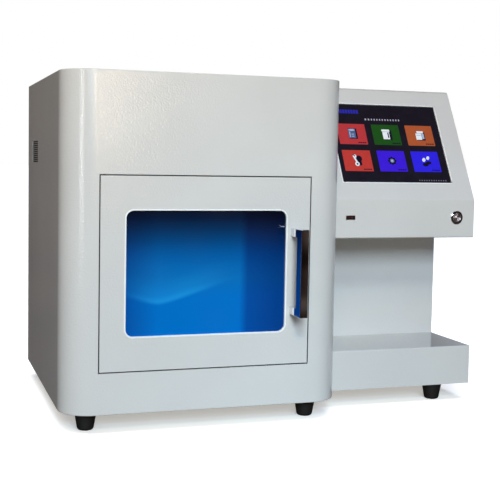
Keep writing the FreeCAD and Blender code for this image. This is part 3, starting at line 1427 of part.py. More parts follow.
def make_console():
    """Folded wrap, two C-shaped side plates, floor and rear cover."""

    def is_open(centre):
        sideways = near(centre.x, "cabinet_width") or near(centre.x, RIGHT_END)
        return sideways or near(centre.z, "0") or near(centre.y, "cabinet_depth")

    plain_wrap = console_block("plain_wrap", "cabinet_width", "console_width")
    thin_out(plain_wrap, "plain_wrap_thin", is_open)
    wrap = console_block("console_sheet", "cabinet_width", "console_width")
    doc.recompute()
    outer_edges = [
        edge.CenterOfMass
        for edge in wrap.Tip.Shape.Edges
        if near(edge.BoundBox.XMin, RIGHT_END)
        and not near(edge.BoundBox.ZMax, "0")
        and not near(edge.BoundBox.YMin, "cabinet_depth")
    ]
    thin_out(wrap, "console_sheet_thin", is_open)
    doc.recompute()
    thin = wrap.Tip
    rim = [
        f"Edge{number}"
        for number, edge in enumerate(thin.Shape.Edges, start=1)
        if any((edge.CenterOfMass - centre).Length < 0.01 for centre in outer_edges)
    ]
    softened = wrap.newObject("PartDesign::Fillet", "console_rim")
    softened.Base = (thin, rim)
    bind(softened, Radius="edge_round")

    screen = box("screen_hole_box", "screen_width", f"sheet_gauge + 4*{THROUGH}", "screen_height",
                 "screen_left", f"-2*{THROUGH}", "screen_foot")
    screen_hole = group("screen_hole", (screen,))
    place(lean_back(screen_hole), "cabinet_width", "console_front", "bend_height")
    front = f"console_front - {THROUGH}"
    depth = f"sheet_gauge + 2*{THROUGH}"
    socket_hole = box("socket_hole", "usb_width + 2*running_fit", depth, "usb_height + 2*running_fit",
                      f"{SOCKET_X} - usb_width/2 - running_fit", front,
                      "panel_row - usb_height/2 - running_fit")
    button_hole = rod("button_hole", "button_barrel + running_fit", depth, BUTTON_X, front, "panel_row", Y)
    finish(cut("console_wrap", wrap, screen_hole, socket_hole, button_hole))

    inner_left = "cabinet_width + sheet_gauge"
    inner_right = f"{RIGHT_END} - sheet_gauge"
    columns = (f"{inner_left} + back_flange/2", f"{inner_right} - back_flange/2")
    for name, start, holes, flange_left, column in (
        ("console_outer_side", inner_right, (), f"{inner_right} - back_flange", columns[1]),
        ("console_inner_side", "cabinet_width", CONSOLE_BOLTS, inner_left, columns[0]),
    ):
        blank = console_block(name + "_blank", start, "sheet_gauge")
        tools = [plain_wrap]
        if holes:
            radius = "m_five/2 + running_fit"
            tools.append(rod("cable_hole", "grommet_radius", depth, f"{start} - {THROUGH}", *GROMMET, X))
            tools += [
                rod(f"{name}_bolt_hole_{i}", radius, depth, f"{start} - {THROUGH}", back, rise, X)
                for i, (back, rise) in enumerate(holes)
            ]
        plain = cut(name + "_plain", blank, *tools)
        strip = box(name + "_strip", "back_flange", "sheet_gauge", "cabinet_height - 2*sheet_gauge",
                    flange_left, f"{BACK_INSIDE} - sheet_gauge", "sheet_gauge")
        strip_holes = [
            rod(f"{name}_strip_hole_{i}", "m_four/2 + running_fit", depth, column,
                f"{BACK_INSIDE} - sheet_gauge - {THROUGH}", rise, Y)
            for i, rise in enumerate(PANEL_SCREW_RISES)
        ]
        finish(fuse(name, plain, cut(name + "_flange", strip, *strip_holes)))

    floor = plate("console_floor", "XY_Plane",
                  (inner_left, "console_front + sheet_gauge", inner_right, BACK_INSIDE), "0", "sheet_gauge")
    holes = sketch(floor, "floor_holes_outline", "XY_Plane", f"-{THROUGH}")
    for x, y in CONSOLE_FEET:
        circle(holes, x, y, "m_five/2 + running_fit")
    pocket(floor, "floor_holes", holes, depth)
    finish(floor)

    cover = plate("console_rear_cover", "XZ_Plane", (inner_left, "0", inner_right, TOP_INSIDE),
                  BACK_INSIDE, "sheet_gauge")
    screws = sketch(cover, "cover_holes_outline", "XZ_Plane", f"{BACK_INSIDE} - {THROUGH}")
    for column in columns:
        for rise in PANEL_SCREW_RISES:
            circle(screws, column, rise, "m_four/2 + running_fit")
    pocket(cover, "cover_holes", screws, depth)
    slot = sketch(cover, "cover_slot_outline", "XZ_Plane", f"{BACK_INSIDE} - {THROUGH}")
    middle = "cabinet_width + console_width/2"
    rectangle(slot, f"{middle} - cover_slot_length/2", "cover_slot_rise",
              f"{middle} + cover_slot_length/2", "cover_slot_rise + grille_slot")
    first = pocket(cover, "cover_slot", slot, depth)
    doc.recompute()
    row = cover.newObject("PartDesign::LinearPattern", "cover_slots")
    row.Originals = [first]
    row.Direction = (slot, ["V_Axis"])
    bind(row, Length="grille_pitch*(cover_slot_count - 1)", Occurrences="cover_slot_count")
    cover.Tip = row
    finish(cover)


def make_console_joint():
    """Bolts that hold the console to the cabinet, and the cable grommet."""
    head = "m_five*0.7"
    profile = (
        ("0", "-2*sheet_gauge - m_five*1.6"),
        ("m_five/2", "-2*sheet_gauge - m_five*1.6"),
        ("m_five/2", "0"),
        ("m_five*0.9", "0"),
        ("m_five*0.9", head),
        ("0", head),
    )
    bolt = turning("console_bolt", profile)
    bore = "m_five/2 + running_fit"
    nut_front = "-2*sheet_gauge - m_five*0.8"
    nut = turning("console_nut", (
        (bore, nut_front),
        ("m_five*0.85", nut_front),
        ("m_five*0.85", "-2*sheet_gauge"),
        (bore, "-2*sheet_gauge"),
    ))
    pair = group("bolt_and_nut", (bolt, nut))
    places = [("cabinet_width + sheet_gauge", back, rise) for back, rise in CONSOLE_BOLTS]
    finish(copies("console_bolts", pair, places, X))

    lip = "grommet_radius + grommet_lip"
    neck = "grommet_radius - running_fit"
    bore = "grommet_radius - grommet_wall"
    grommet = turning("cable_grommet", (
        (bore, "-sheet_gauge - grommet_rim"),
        (lip, "-sheet_gauge - grommet_rim"),
        (lip, "-sheet_gauge"),
        (neck, "-sheet_gauge"),
        (neck, "sheet_gauge"),
        (lip, "sheet_gauge"),
        (lip, "sheet_gauge + grommet_rim"),
        (bore, "sheet_gauge + grommet_rim"),
    ))
    turned_to(grommet, X)
    finish(grommet, at=("cabinet_width", *GROMMET))


def make_screen():
    """Touch glass, display, rails and board, laid out in the plane of the slope."""
    glass_depth = "sheet_gauge"
    glass = box("touch_glass", "screen_width + 2*glass_lap", "glass_thickness", "screen_height + 2*glass_lap",
                "screen_left - glass_lap", glass_depth, "screen_foot - glass_lap")
    finish_on_slope(group("touch_panel", (glass,)))

    module_depth = "(sheet_gauge + glass_thickness)"
    left = "(screen_left - display_lap)"
    foot = "(screen_foot - display_lap)"
    width = "(screen_width + 2*display_lap)"
    height = "(screen_height + 2*display_lap)"
    module = box("display_case", width, "display_thickness", height, left, module_depth, foot)
    lip = box("display_lip", f"{width} - 2*lip_inset", "lip_depth", f"{height} - 2*lip_inset",
              f"{left} + lip_inset", f"{module_depth} + display_thickness", f"{foot} + lip_inset")

    rails = [
        box(f"rail_{name}", "rail_width", "rail_depth", height, x, glass_depth, foot)
        for name, x in (("left", f"{left} - rail_width"), ("right", f"{left} + {width}"))
    ]
    finish_on_slope(group("display_rails", rails))

    back = f"({module_depth} + display_thickness + lip_depth)"
    board_left = f"({left} + {width}*0.15)"
    board_foot = f"({foot} + {height}*0.15)"
    board_size = (f"{width}*0.7", f"{height}*0.7")
    pillars = [
        rod(f"screen_pillar_{i}", "standoff_radius", "standoff_height",
            f"{board_left} + {sx}*{board_size[0]} + {1 - 2 * sx}*board_inset", back,
            f"{board_foot} + {sz}*{board_size[1]} + {1 - 2 * sz}*board_inset", Y)
        for i, (sx, sz) in enumerate(((0, 0), (0, 1), (1, 0), (1, 1)))
    ]
    finish_on_slope(fuse("display_module", module, lip, *pillars))
    level = f"({back} + standoff_height)"
    board = box("screen_sheet", board_size[0], "board_gauge", board_size[1], board_left, level, board_foot)
    # Shares of the board's width and height for place and size, and of the tallest part.
    chips = [
        box(f"screen_chip_{i}", f"{board_size[0]}*{length}", f"tall_part*{tall}", f"{board_size[1]}*{width}",
            f"{board_left} + {board_size[0]}*{across}", f"{level} + board_gauge",
            f"{board_foot} + {board_size[1]}*{up}")
        for i, (across, up, length, width, tall) in enumerate((
            (0.13, 0.15, 0.19, 0.25, 0.20),
            (0.45, 0.19, 0.11, 0.21, 0.15),
            (0.67, 0.13, 0.21, 0.15, 0.60),
            (0.11, 0.62, 0.24, 0.10, 0.65),
            (0.48, 0.58, 0.15, 0.23, 0.30),
        ))
    ]
    finish_on_slope(fuse("screen_board", board, *chips))


def make_usb():
    """USB socket: sheet-metal shell and the contact tongue in it."""
    left = f"({SOCKET_X} - usb_width/2)"
    low = "(panel_row - usb_height/2)"
    front = "(console_front - running_fit)"
    outer = box("usb_outer", "usb_width", "usb_depth", "usb_height", left, front, low)
    hollow = box("usb_hollow", "usb_width - 2*usb_wall", "usb_depth - usb_wall", "usb_height - 2*usb_wall",
                 f"{left} + usb_wall", front, f"{low} + usb_wall")
    finish(cut("usb_shell", outer, hollow))
    back = f"({front} + usb_depth - usb_wall)"
    tongue = box("tongue_blade", "tongue_width", "tongue_length", "tongue_height",
                 f"{SOCKET_X} - tongue_width/2", f"{back} - tongue_length", "panel_row + tongue_offset - tongue_height/2")
    root = box("tongue_root", "usb_width - 2*usb_wall - 2*running_fit", "root_length",
               "usb_height - 2*usb_wall - 2*running_fit", f"{left} + usb_wall + running_fit",
               f"{back} - root_length", f"{low} + usb_wall + running_fit")
    finish(fuse("usb_tongue", tongue, root))


def make_power_button():
    """Metal push button: threaded barrel with its flange, nut and moving cap."""
    bore = "button_cap + running_fit"
    barrel = turning("button_barrel_body", (
        ("0", "button_length"),
        ("0", "button_length - button_end"),
        (bore, "button_length - button_end"),
        (bore, "-button_rim"),
        ("button_flange - button_bevel", "-button_rim"),
        ("button_flange", "button_bevel - button_rim"),
        ("button_flange", "0"),
        ("button_barrel", "0"),
        ("button_barrel", "button_length"),
    ))
    turned_to(barrel, Y)
    finish(barrel, "button_barrel", at=(BUTTON_X, "console_front", "panel_row"))

    length = "(button_length + button_rim - button_end - 3*button_travel)"
    cap = turning("button_cap_body", (
        ("0", "0"),
        ("button_cap - button_bevel", "0"),
        ("button_cap", "button_bevel"),
        ("button_cap", length),
        ("0", length),
    ))
    turned_to(cap, Y)
    finish(cap, "power_button", at=(BUTTON_X, "console_front - button_rim - button_stand", "panel_row"))

    nut = hexagon("button_hex", "button_nut", "nut_gauge", BUTTON_X, "console_front + sheet_gauge", "panel_row", Y)
    hole = rod("button_nut_hole", "button_barrel + running_fit", "2*nut_gauge + sheet_gauge",
               BUTTON_X, "console_front", "panel_row", Y)
    finish(cut("button_ring_nut", nut, hole))


# --------------------------------------------------------------------------------
# Build, check and write
# --------------------------------------------------------------------------------

make_cabinet_wrap()
make_cabinet_plate("cabinet_top", TOP_INSIDE)
make_cabinet_plate("cabinet_floor", "0", CABINET_FEET)
make_rear_panel()
make_cover_screws()
make_feet()
make_dust_filter()
make_door_jamb()
make_compartment_liner()
make_door_seal()
make_hinge_hardware()
make_catch()
make_door_shell()
make_door_back_panel()
make_window()
make_door_handle()
make_hinge_bushings()
make_chambers()
make_gas_side()
make_tubes()
make_mains()
make_rocker()
make_power_and_control()
make_fan()
make_console()
make_console_joint()
make_screen()
make_usb()
make_power_button()
doc.recompute()

failed = [thing.Name for thing in doc.Objects if {"Invalid", "Error"} & set(thing.State)]
if failed:
    raise RuntimeError(f"these features failed: {failed}")

os.makedirs("parts", exist_ok=True)
for thing in subparts:
    shape = thing.Shape
    if shape.isNull() or not shape.isValid() or not shape.Solids:
        raise RuntimeError(f"{thing.Label} has no valid solid")
    shape.exportStep(os.path.join("parts", thing.Label + ".step"))
print(f"wrote {len(subparts)} sub-parts")
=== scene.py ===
# %% [markdown]
# # A benchtop density meter
# The CAD model gives every sheet, shaft and screw at its real size. This lesson gives those
# pieces their finishes, models the small things that are better shaped by hand, such as the
# picture on the touch screen, and then sets up a soft studio round the meter.
# All lengths are in metres, and +X is right, +Y is back and +Z is up.

# %% Load the CAD model
import json
import math

import bmesh
import bpy
from mathutils import Matrix, Vector


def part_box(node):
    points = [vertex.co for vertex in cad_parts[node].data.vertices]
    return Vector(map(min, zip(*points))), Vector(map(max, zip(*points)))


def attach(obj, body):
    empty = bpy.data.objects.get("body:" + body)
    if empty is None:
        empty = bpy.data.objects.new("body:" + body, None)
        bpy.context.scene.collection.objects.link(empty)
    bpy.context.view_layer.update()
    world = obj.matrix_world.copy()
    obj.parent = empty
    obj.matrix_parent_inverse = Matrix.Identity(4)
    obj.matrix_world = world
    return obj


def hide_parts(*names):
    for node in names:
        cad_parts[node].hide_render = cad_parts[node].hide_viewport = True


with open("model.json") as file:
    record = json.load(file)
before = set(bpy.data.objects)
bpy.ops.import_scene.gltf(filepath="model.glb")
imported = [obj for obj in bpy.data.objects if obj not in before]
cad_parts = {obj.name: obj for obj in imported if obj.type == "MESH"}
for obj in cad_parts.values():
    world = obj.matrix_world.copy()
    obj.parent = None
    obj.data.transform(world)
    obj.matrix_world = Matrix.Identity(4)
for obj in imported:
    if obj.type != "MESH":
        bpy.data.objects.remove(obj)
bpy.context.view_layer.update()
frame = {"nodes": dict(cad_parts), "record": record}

MM = 0.001

# %% [markdown]
# ## Camera
# The camera stands a little left of the meter and just above its middle, with a long lens. It
# is turned 18 degrees to the right and 4 degrees down, and is held one degree out of level.
# A camera could be aimed with a constraint, but a constraint keeps it level. Its axes are
# worked out from the three angles instead.

# %% Place the camera
YAW, PITCH, ROLL = math.radians(18.09), math.radians(3.95), math.radians(1.01)
CAMERA_PLACE = (-0.4451, -1.3006, 0.3232)
SENSOR_WIDTH, LENS = 36, 72.05
SHIFT_X, SHIFT_Y = 0.0266, -0.0448

forward = Vector((math.sin(YAW) * math.cos(PITCH), math.cos(YAW) * math.cos(PITCH),
                  -math.sin(PITCH)))
level_right = Vector((math.cos(YAW), -math.sin(YAW), 0))
level_up = level_right.cross(forward)
right = level_right * math.cos(ROLL) + level_up * math.sin(ROLL)
up = level_up * math.cos(ROLL) - level_right * math.sin(ROLL)

camera_data = bpy.data.cameras.new("camera")
camera_data.sensor_width = SENSOR_WIDTH
camera_data.lens = LENS
camera_data.shift_x = SHIFT_X
camera_data.shift_y = SHIFT_Y
camera = bpy.data.objects.new("camera", camera_data)
bpy.context.scene.collection.objects.link(camera)
axes = Matrix((right, up, -forward)).transposed()
camera.matrix_world = Matrix.Translation(CAMERA_PLACE) @ axes.to_4x4()
bpy.context.scene.camera = camera
print("camera at", tuple(round(c, 3) for c in camera.location))

# %% [markdown]
# ## Helpers for finishes
# Colours are picked as sRGB hex values, which are what a colour picker shows. Shaders work in
# linear light, so one function turns a hex value to linear. A second one adds a node with its
# settings and its links, so that each material reads as a short list of what it is made of.
# Patterns are placed by Object coordinates, so that they stay put on a piece in every view.

# %% Colours
def colour(hex_value):
    """Linear, opaque colour of an sRGB hex value."""
    parts = [int(hex_value[i:i + 2], 16) / 255 for i in (1, 3, 5)]
    return (*(c / 12.92 if c <= 0.04045 else ((c + 0.055) / 1.055) ** 2.4 for c in parts), 1.0)


print("white is", colour("#FFFFFF")[:3])


# %% Nodes and materials
def add(tree, kind, inputs=None, **settings):
    """Adds a node. Each input takes a value, or another node's output, which is linked."""
    made = tree.nodes.new(kind)
    for name, setting in settings.items():
        setattr(made, name, setting)
    for socket, source in (inputs or {}).items():
        if isinstance(source, bpy.types.NodeSocket):
            tree.links.new(source, made.inputs[socket])
        else:
            made.inputs[socket].default_value = source
    return made


def stops(ramp, *points):
    """Sets a colour ramp's stops, each a position and a linear colour."""
    elements = ramp.color_ramp.elements
    while len(elements) > 2:
        elements.remove(elements[-1])
    while len(elements) < len(points):
        elements.new(0.5)
    for element, (position, tint) in zip(elements, points):
        element.position = position
        element.color = tint
    return ramp.outputs[0]


def begin(name, **sockets):
    """A new material: its tree, its shader with constants set, and Object coordinates."""
    material = bpy.data.materials.new(name)
    material.use_nodes = True
    tree = material.node_tree
    shader = tree.nodes["Principled BSDF"]
    for socket, setting in sockets.items():
        shader.inputs[socket.replace("_", " ")].default_value = setting
    coordinates = add(tree, "ShaderNodeTexCoord").outputs["Object"]
    return material, tree, shader, coordinates


print("node helpers ready")

# %% [markdown]
# ## Powder coat
# The sheet metal is painted with polyester powder that melts in an oven. It flows out with an
# orange peel: waves a millimetre or two long and a few hundredths high, with a finer grain on
# top. The waves break up the edges of reflections, so they are a bump, and the gloss changes a
# little with them. A very wide noise keeps the grey from being flat. Real sheets would need a
# displaced mesh of millions of faces for this, and a bump gives the same look.
# The grain is really about 0.3 mm and the bump far lower. Both are drawn larger than they are,
# because a pixel of the render covers 1.5 mm and evens out anything finer.

# %% Powder coat
# Three sizes in metres. The grain adds about a third as much height as the waves.
WAVE, GRAIN, CLOUD = 0.0021, 0.0010, 0.12
PEEL_HEIGHT, GRAIN_SHARE = 0.00030, 0.35


def powder_coat(name, light, dark):
    """Light and dark are the two ends of a drift in the grey that is hardly seen."""
    material, tree, shader, place = begin(name, IOR=1.5)
    waves = add(tree, "ShaderNodeTexNoise", {"Vector": place, "Scale": 1 / WAVE, "Detail": 1.0})
    grain = add(tree, "ShaderNodeTexNoise", {"Vector": place, "Scale": 1 / GRAIN, "Detail": 1.0})
    cloud = add(tree, "ShaderNodeTexNoise", {"Vector": place, "Scale": 1 / CLOUD, "Detail": 2.0})
    tone = add(tree, "ShaderNodeValToRGB", {"Fac": cloud.outputs[0]})
    drift = stops(tone, (0.35, colour(light)), (0.7, colour(dark)))
    tree.links.new(drift, shader.inputs["Base Color"])
    gloss = add(tree, "ShaderNodeMapRange", {"Value": waves.outputs[0],
                                             "To Min": 0.12, "To Max": 0.17})
    tree.links.new(gloss.outputs[0], shader.inputs["Roughness"])
    height = add(tree, "ShaderNodeMath", {0: grain.outputs[0], 1: GRAIN_SHARE, 2: waves.outputs[0]},
                 operation="MULTIPLY_ADD")
    bump = add(tree, "ShaderNodeBump", {"Height": height.outputs[0], "Strength": 0.8,
                                        "Distance": PEEL_HEIGHT})
    tree.links.new(bump.outputs[0], shader.inputs["Normal"])
    return material


FINISH = {"powder_coat": powder_coat("light_grey_powder_coat", "#DADADA", "#D5D5D5")}
print("powder coat waves every", round(WAVE / MM, 2), "mm")

# %% [markdown]
# ## Metals
# Brushed sheet has long scratches in one direction, so its noise is stretched along them.
# Turned parts have rings from the lathe tool, which show as fine bands along the part's axis.
# Plated and machined parts have a short grain. A metal's colour is its reflection, so each has
# metallic 1 and differs in tint, roughness and the shape of its grain. Real scratches and tool
# marks are about 0.1 mm apart, and are drawn several times as wide so that they show.

# %% Grain of a metal
METAL_PATCH = 0.03


def metal(name, tint, worn, roughness, spacing, stretch, depth):
    """Grain with a real spacing, drawn out along X, Y and Z by the stretch."""
    material, tree, shader, place = begin(name, Metallic=1.0)
    scale = tuple(1 / (spacing * s) for s in stretch)
    fitted = add(tree, "ShaderNodeMapping", {"Vector": place, "Scale": scale})
    grain = add(tree, "ShaderNodeTexNoise", {"Vector": fitted.outputs[0], "Scale": 1.0,
                                             "Detail": 3.0})
    patches = add(tree, "ShaderNodeTexNoise", {"Vector": place, "Scale": 1 / METAL_PATCH,
                                               "Detail": 2.0})
    tone = add(tree, "ShaderNodeValToRGB", {"Fac": patches.outputs[0]})
    drift = stops(tone, (0.3, colour(tint)), (0.75, colour(worn)))
    tree.links.new(drift, shader.inputs["Base Color"])
    dull = add(tree, "ShaderNodeMapRange", {"Value": grain.outputs[0], "To Min": roughness * 0.8,
                                            "To Max": roughness * 1.25})
    tree.links.new(dull.outputs[0], shader.inputs["Roughness"])
    bump = add(tree, "ShaderNodeBump", {"Height": grain.outputs[0], "Strength": 0.4,
                                        "Distance": depth})
    tree.links.new(bump.outputs[0], shader.inputs["Normal"])
    return material


print("a metal's tint drifts over", round(METAL_PATCH / MM), "mm")

# %% Eight metals
# Each slot: name, tint, worn tint, roughness, spacing in metres, stretch, depth in metres.
METALS = {
    # Stainless sheet, brushed from front to back: soft streaked reflections.
    "stainless_sheet":
        ("brushed_stainless_sheet", "#C9C8C4", "#BDBCB8", 0.30, 0.0006, (1, 60, 1), 2e-5),
    # Steel with bright zinc on it: cool, with faint patches.
    "zinc_plated_steel":
        ("bright_zinc_plated_steel", "#C4C7CA", "#AEB2B5", 0.28, 0.0015, (1, 1, 1), 2e-5),
    # Buffed chrome plate: a mirror.
    "polished_chrome":
        ("polished_chrome", "#E2E2E4", "#DCDCE0", 0.05, 0.02, (1, 1, 1), 2e-6),
    # Aluminium with the passes of a milling cutter along X.
    "machined_aluminium":
        ("milled_aluminium", "#D4D5D6", "#C8C9CB", 0.32, 0.0008, (30, 1, 1), 3e-5),
    # Stainless bar turned about Z: bands round it.
    "turned_stainless":
        ("turned_stainless", "#C6C5C1", "#B9B7B2", 0.24, 0.0007, (40, 40, 1), 3e-5),
    # Tinned steel pressed into the display's back: greyer and duller.
    "display_metal":
        ("stamped_tinplate", "#B9BBBD", "#A9ABAE", 0.36, 0.004, (1, 1, 1), 2e-5),
    # Hot-dipped zinc: broad crystals, the dullest of all.
    "galvanised_case":
        ("galvanised_sheet", "#B4B8BA", "#9DA2A6", 0.42, 0.008, (1, 1, 1), 3e-5),
    # Brass bar machined along Z: warm, with a grain along its length.
    "brass_body":
        ("machined_brass", "#C9A25A", "#B58C45", 0.28, 0.0008, (1, 1, 20), 2e-5),
}
for slot, recipe in METALS.items():
    FINISH[slot] = metal(*recipe)
print(len(FINISH), "finishes so far")

# %% [markdown]
# ## Rubber and plastics
# The feet and seals are moulded rubber: nearly black, dull, with a fine spark-eroded texture.
# Moulded plastics differ by how smooth their mould was. Each takes the same simple build, a
# grain with a real size under a colour that drifts a little, and its own gloss. A mould's
# texture is really 0.1 mm or so, and is drawn about ten times as wide so that it shows.

# %% Grain of a mould
MOULD_PATCH = 0.015


def moulded(name, tint, drift, roughness, spacing, depth, ior=1.5):
    """Grain of one spacing under a colour that goes from the tint to its drift."""
    material, tree, shader, place = begin(name, IOR=ior)
    grain = add(tree, "ShaderNodeTexNoise", {"Vector": place, "Scale": 1 / spacing, "Detail": 2.0})
    patches = add(tree, "ShaderNodeTexNoise", {"Vector": place, "Scale": 1 / MOULD_PATCH,
                                               "Detail": 3.0})
    tone = add(tree, "ShaderNodeValToRGB", {"Fac": patches.outputs[0]})
    shade = stops(tone, (0.3, colour(tint)), (0.75, colour(drift)))
    tree.links.new(shade, shader.inputs["Base Color"])
    dull = add(tree, "ShaderNodeMapRange", {"Value": patches.outputs[0],
                                            "To Min": roughness - 0.06, "To Max": roughness + 0.06})
    tree.links.new(dull.outputs[0], shader.inputs["Roughness"])
    bump = add(tree, "ShaderNodeBump", {"Height": grain.outputs[0], "Strength": 0.5,
                                        "Distance": depth})
    tree.links.new(bump.outputs[0], shader.inputs["Normal"])
    return material


print("a moulded tint drifts over", round(MOULD_PATCH / MM), "mm")

# %% Seven kinds of rubber and plastic
# Each slot: name, tint, drift, roughness, grain spacing in metres, depth in metres.
MOULDED = {
    # Natural rubber with carbon black, from an eroded mould: nearly black and dull.
    "black_rubber": ("moulded_black_rubber", "#161616", "#1E1D1C", 0.55, 0.0012, 5e-5),
    # Extruded foam rubber: dark grey, duller still.
    "grey_seal_rubber": ("extruded_seal_rubber", "#3A3B3C", "#424344", 0.6, 0.0010, 4e-5),
    # Black nylon from a smooth mould: a soft sheen.
    "black_plastic": ("moulded_black_nylon", "#18181A", "#202022", 0.42, 0.0008, 3e-5),
    # Nylon without pigment: ivory.
    "natural_nylon": ("natural_nylon", "#DAD6C8", "#D0CBBB", 0.4, 0.0010, 2e-5),
    # The red-brown block that carries a socket's contacts.
    "usb_plastic": ("red_brown_contact_block", "#5A2A26", "#4A211D", 0.35, 0.0008, 2e-5),
    # Open foam: its cells swallow the light, so it is blacker than the rubber.
    "foam": ("open_cell_foam", "#080808", "#101010", 0.9, 0.0016, 6e-4),
    # Glass laminate under green solder mask: smooth and glossy.
    "circuit_board": ("green_solder_mask", "#0D5A33", "#0A4A2A", 0.3, 0.0020, 3e-5),
}
for slot, recipe in MOULDED.items():
    FINISH[slot] = moulded(*recipe)
print(len(FINISH), "finishes so far")

# %% [markdown]
# ## Tinted window with painted shade
# The pane is blue polycarbonate, tinted all through, with a gloss that mirrors the handle. The
# compartment behind it is dark under its roof and past its rear right corner, and so is the
# blue in front of them. Clear tinted plastic could show that by itself, but it keeps the light
# out of the compartment and seldom survives an export. So that shade is painted into the tint:
# painted shade in a ramp up the pane and a second one across it, and a painted highlight as a
# soft streak with a crisp lower edge.

# %% How far a point lies across and up the opening
# The pane reaches 5 mm behind the door's sheet all round, so the opening is that much smaller.
PANE_LAP = 5 * MM
pane_low, pane_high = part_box("window_pane")
pane, tree, shader, place = begin("blue_polycarbonate_painted_shade", IOR=1.58, Roughness=0.08,
                                  Alpha=0.975)
point = add(tree, "ShaderNodeSeparateXYZ", {"Vector": place})
across = add(tree, "ShaderNodeMapRange", {"Value": point.outputs["X"],
                                          "From Min": pane_low.x + PANE_LAP,
                                          "From Max": pane_high.x - PANE_LAP}).outputs[0]
rise = add(tree, "ShaderNodeMapRange", {"Value": point.outputs["Z"],
                                        "From Min": pane_low.z + PANE_LAP,
                                        "From Max": pane_high.z - PANE_LAP}).outputs[0]
opening = pane_high - pane_low - Vector((2 * PANE_LAP, 0, 2 * PANE_LAP))
print("opening", round(opening.x / MM), "by", round(opening.z / MM), "mm")

# %% The tint with painted shade, up and across
# Painted shade: the blues darken towards the top, under the compartment's roof.
TINT_AND_SHADE_UP = ((0.0, "#0072CA"), (0.30, "#0073CB"), (0.45, "#0872BE"), (0.55, "#056AB6"),
          (0.65, "#035CA4"), (0.75, "#044882"), (0.85, "#06325C"), (0.93, "#071E3D"),
          (1.0, "#0B1526"))
# Painted shade across the pane: dimmer at the left edge, and darker past the rear right corner.
SHADE_ACROSS = ((0.0, (0.55, 0.52, 0.66, 1)), (0.20, (1, 1, 1, 1)), (0.705, (1, 1, 1, 1)),
            (0.755, (0.5, 0.46, 0.63, 1)), (1.0, (0.4, 0.27, 0.40, 1)))
tint_and_shade_ramp = add(tree, "ShaderNodeValToRGB", {"Fac": rise})
tint = stops(tint_and_shade_ramp, *((height, colour(hex_value)) for height, hex_value in TINT_AND_SHADE_UP))
shade_across_ramp = add(tree, "ShaderNodeValToRGB", {"Fac": across})
shade = stops(shade_across_ramp, *SHADE_ACROSS)
tinted_and_shaded = add(tree, "ShaderNodeMix", {0: 1.0, 6: tint, 7: shade}, data_type="RGBA",
             blend_type="MULTIPLY")
print("the tint goes through", len(TINT_AND_SHADE_UP), "blues on its way up")

# %% The streak, a painted highlight
# Its lower edge is a hyperbola: level on the left, then rising to the right. All lengths here
# are shares of the opening.
LOWEST_ACROSS, LOWEST_RISE, SLANT, ROUNDNESS = 0.2, 0.25, 0.44, 0.0025
SMOOTH = {"interpolation_type": "SMOOTHSTEP"}
aside = add(tree, "ShaderNodeMath", {0: across, 1: LOWEST_ACROSS}, operation="SUBTRACT").outputs[0]
square = add(tree, "ShaderNodeMath", {0: aside, 1: aside, 2: ROUNDNESS},
             operation="MULTIPLY_ADD").outputs[0]
bent = add(tree, "ShaderNodeMath", {0: square}, operation="SQRT").outputs[0]
edge = add(tree, "ShaderNodeMath", {0: bent, 1: SLANT, 2: LOWEST_RISE},
           operation="MULTIPLY_ADD").outputs[0]
above = add(tree, "ShaderNodeMath", {0: rise, 1: edge}, operation="SUBTRACT").outputs[0]

# A broad painted highlight that fades upwards, and a narrow one that lies on the edge.
broad = add(tree, "ShaderNodeMapRange", {"Value": above, "From Min": 0.21, "From Max": 0.0,
                                         "To Max": 0.22}, **SMOOTH).outputs[0]
narrow = add(tree, "ShaderNodeMapRange", {"Value": above, "From Min": 0.05, "From Max": 0.0,
                                          "To Max": 0.16}, **SMOOTH).outputs[0]
glow = add(tree, "ShaderNodeMath", {0: broad, 1: narrow}, operation="ADD").outputs[0]

# Both end at the edge, and fade out to the right and a little to the left.
cut = add(tree, "ShaderNodeMapRange", {"Value": above, "From Min": -0.035, "From Max": 0.01},
          **SMOOTH).outputs[0]
fade_right = add(tree, "ShaderNodeMapRange", {"Value": across, "From Min": 0.68, "From Max": 0.33},
                 **SMOOTH).outputs[0]
fade_left = add(tree, "ShaderNodeMapRange", {"Value": across, "From Max": 0.22, "To Min": 0.22},
                **SMOOTH).outputs[0]
for share in (cut, fade_right, fade_left):
    glow = add(tree, "ShaderNodeMath", {0: glow, 1: share}, operation="MULTIPLY").outputs[0]
# The pale blue laid over the tint along the streak is a painted highlight.
painted_streak_mix = add(tree, "ShaderNodeMix", {0: glow, 6: tinted_and_shaded.outputs[2], 7: colour("#2FBAFA")},
               data_type="RGBA")
tree.links.new(painted_streak_mix.outputs[2], shader.inputs["Base Color"])
FINISH["tinted_polycarbonate"] = pane
print("the streak is lowest", LOWEST_RISE, "of the way up")

# %% [markdown]
# ## Touch glass
# The screen's cover glass is dark with a faint violet cast, because the display behind it is
# never quite black. A thin smear pattern in its roughness shows that fingers have used it. The
# smears are drawn 20 mm across, as a fingertip leaves them.

# %% Touch glass
SMEAR = 0.02
glass, tree, shader, place = begin("dark_touch_glass", IOR=1.52)
smears = add(tree, "ShaderNodeTexNoise", {"Vector": place, "Scale": 1 / SMEAR, "Detail": 4.0,
                                          "Distortion": 1.5})
dull = add(tree, "ShaderNodeMapRange", {"Value": smears.outputs[0], "To Min": 0.10,
                                        "To Max": 0.24})
tree.links.new(dull.outputs[0], shader.inputs["Roughness"])
cast = add(tree, "ShaderNodeValToRGB", {"Fac": smears.outputs[0]})
violet = stops(cast, (0.3, colour("#1B1823")), (0.8, colour("#211E2A")))
tree.links.new(violet, shader.inputs["Base Color"])
FINISH["touch_glass"] = glass
print(len(FINISH), "finishes so far")

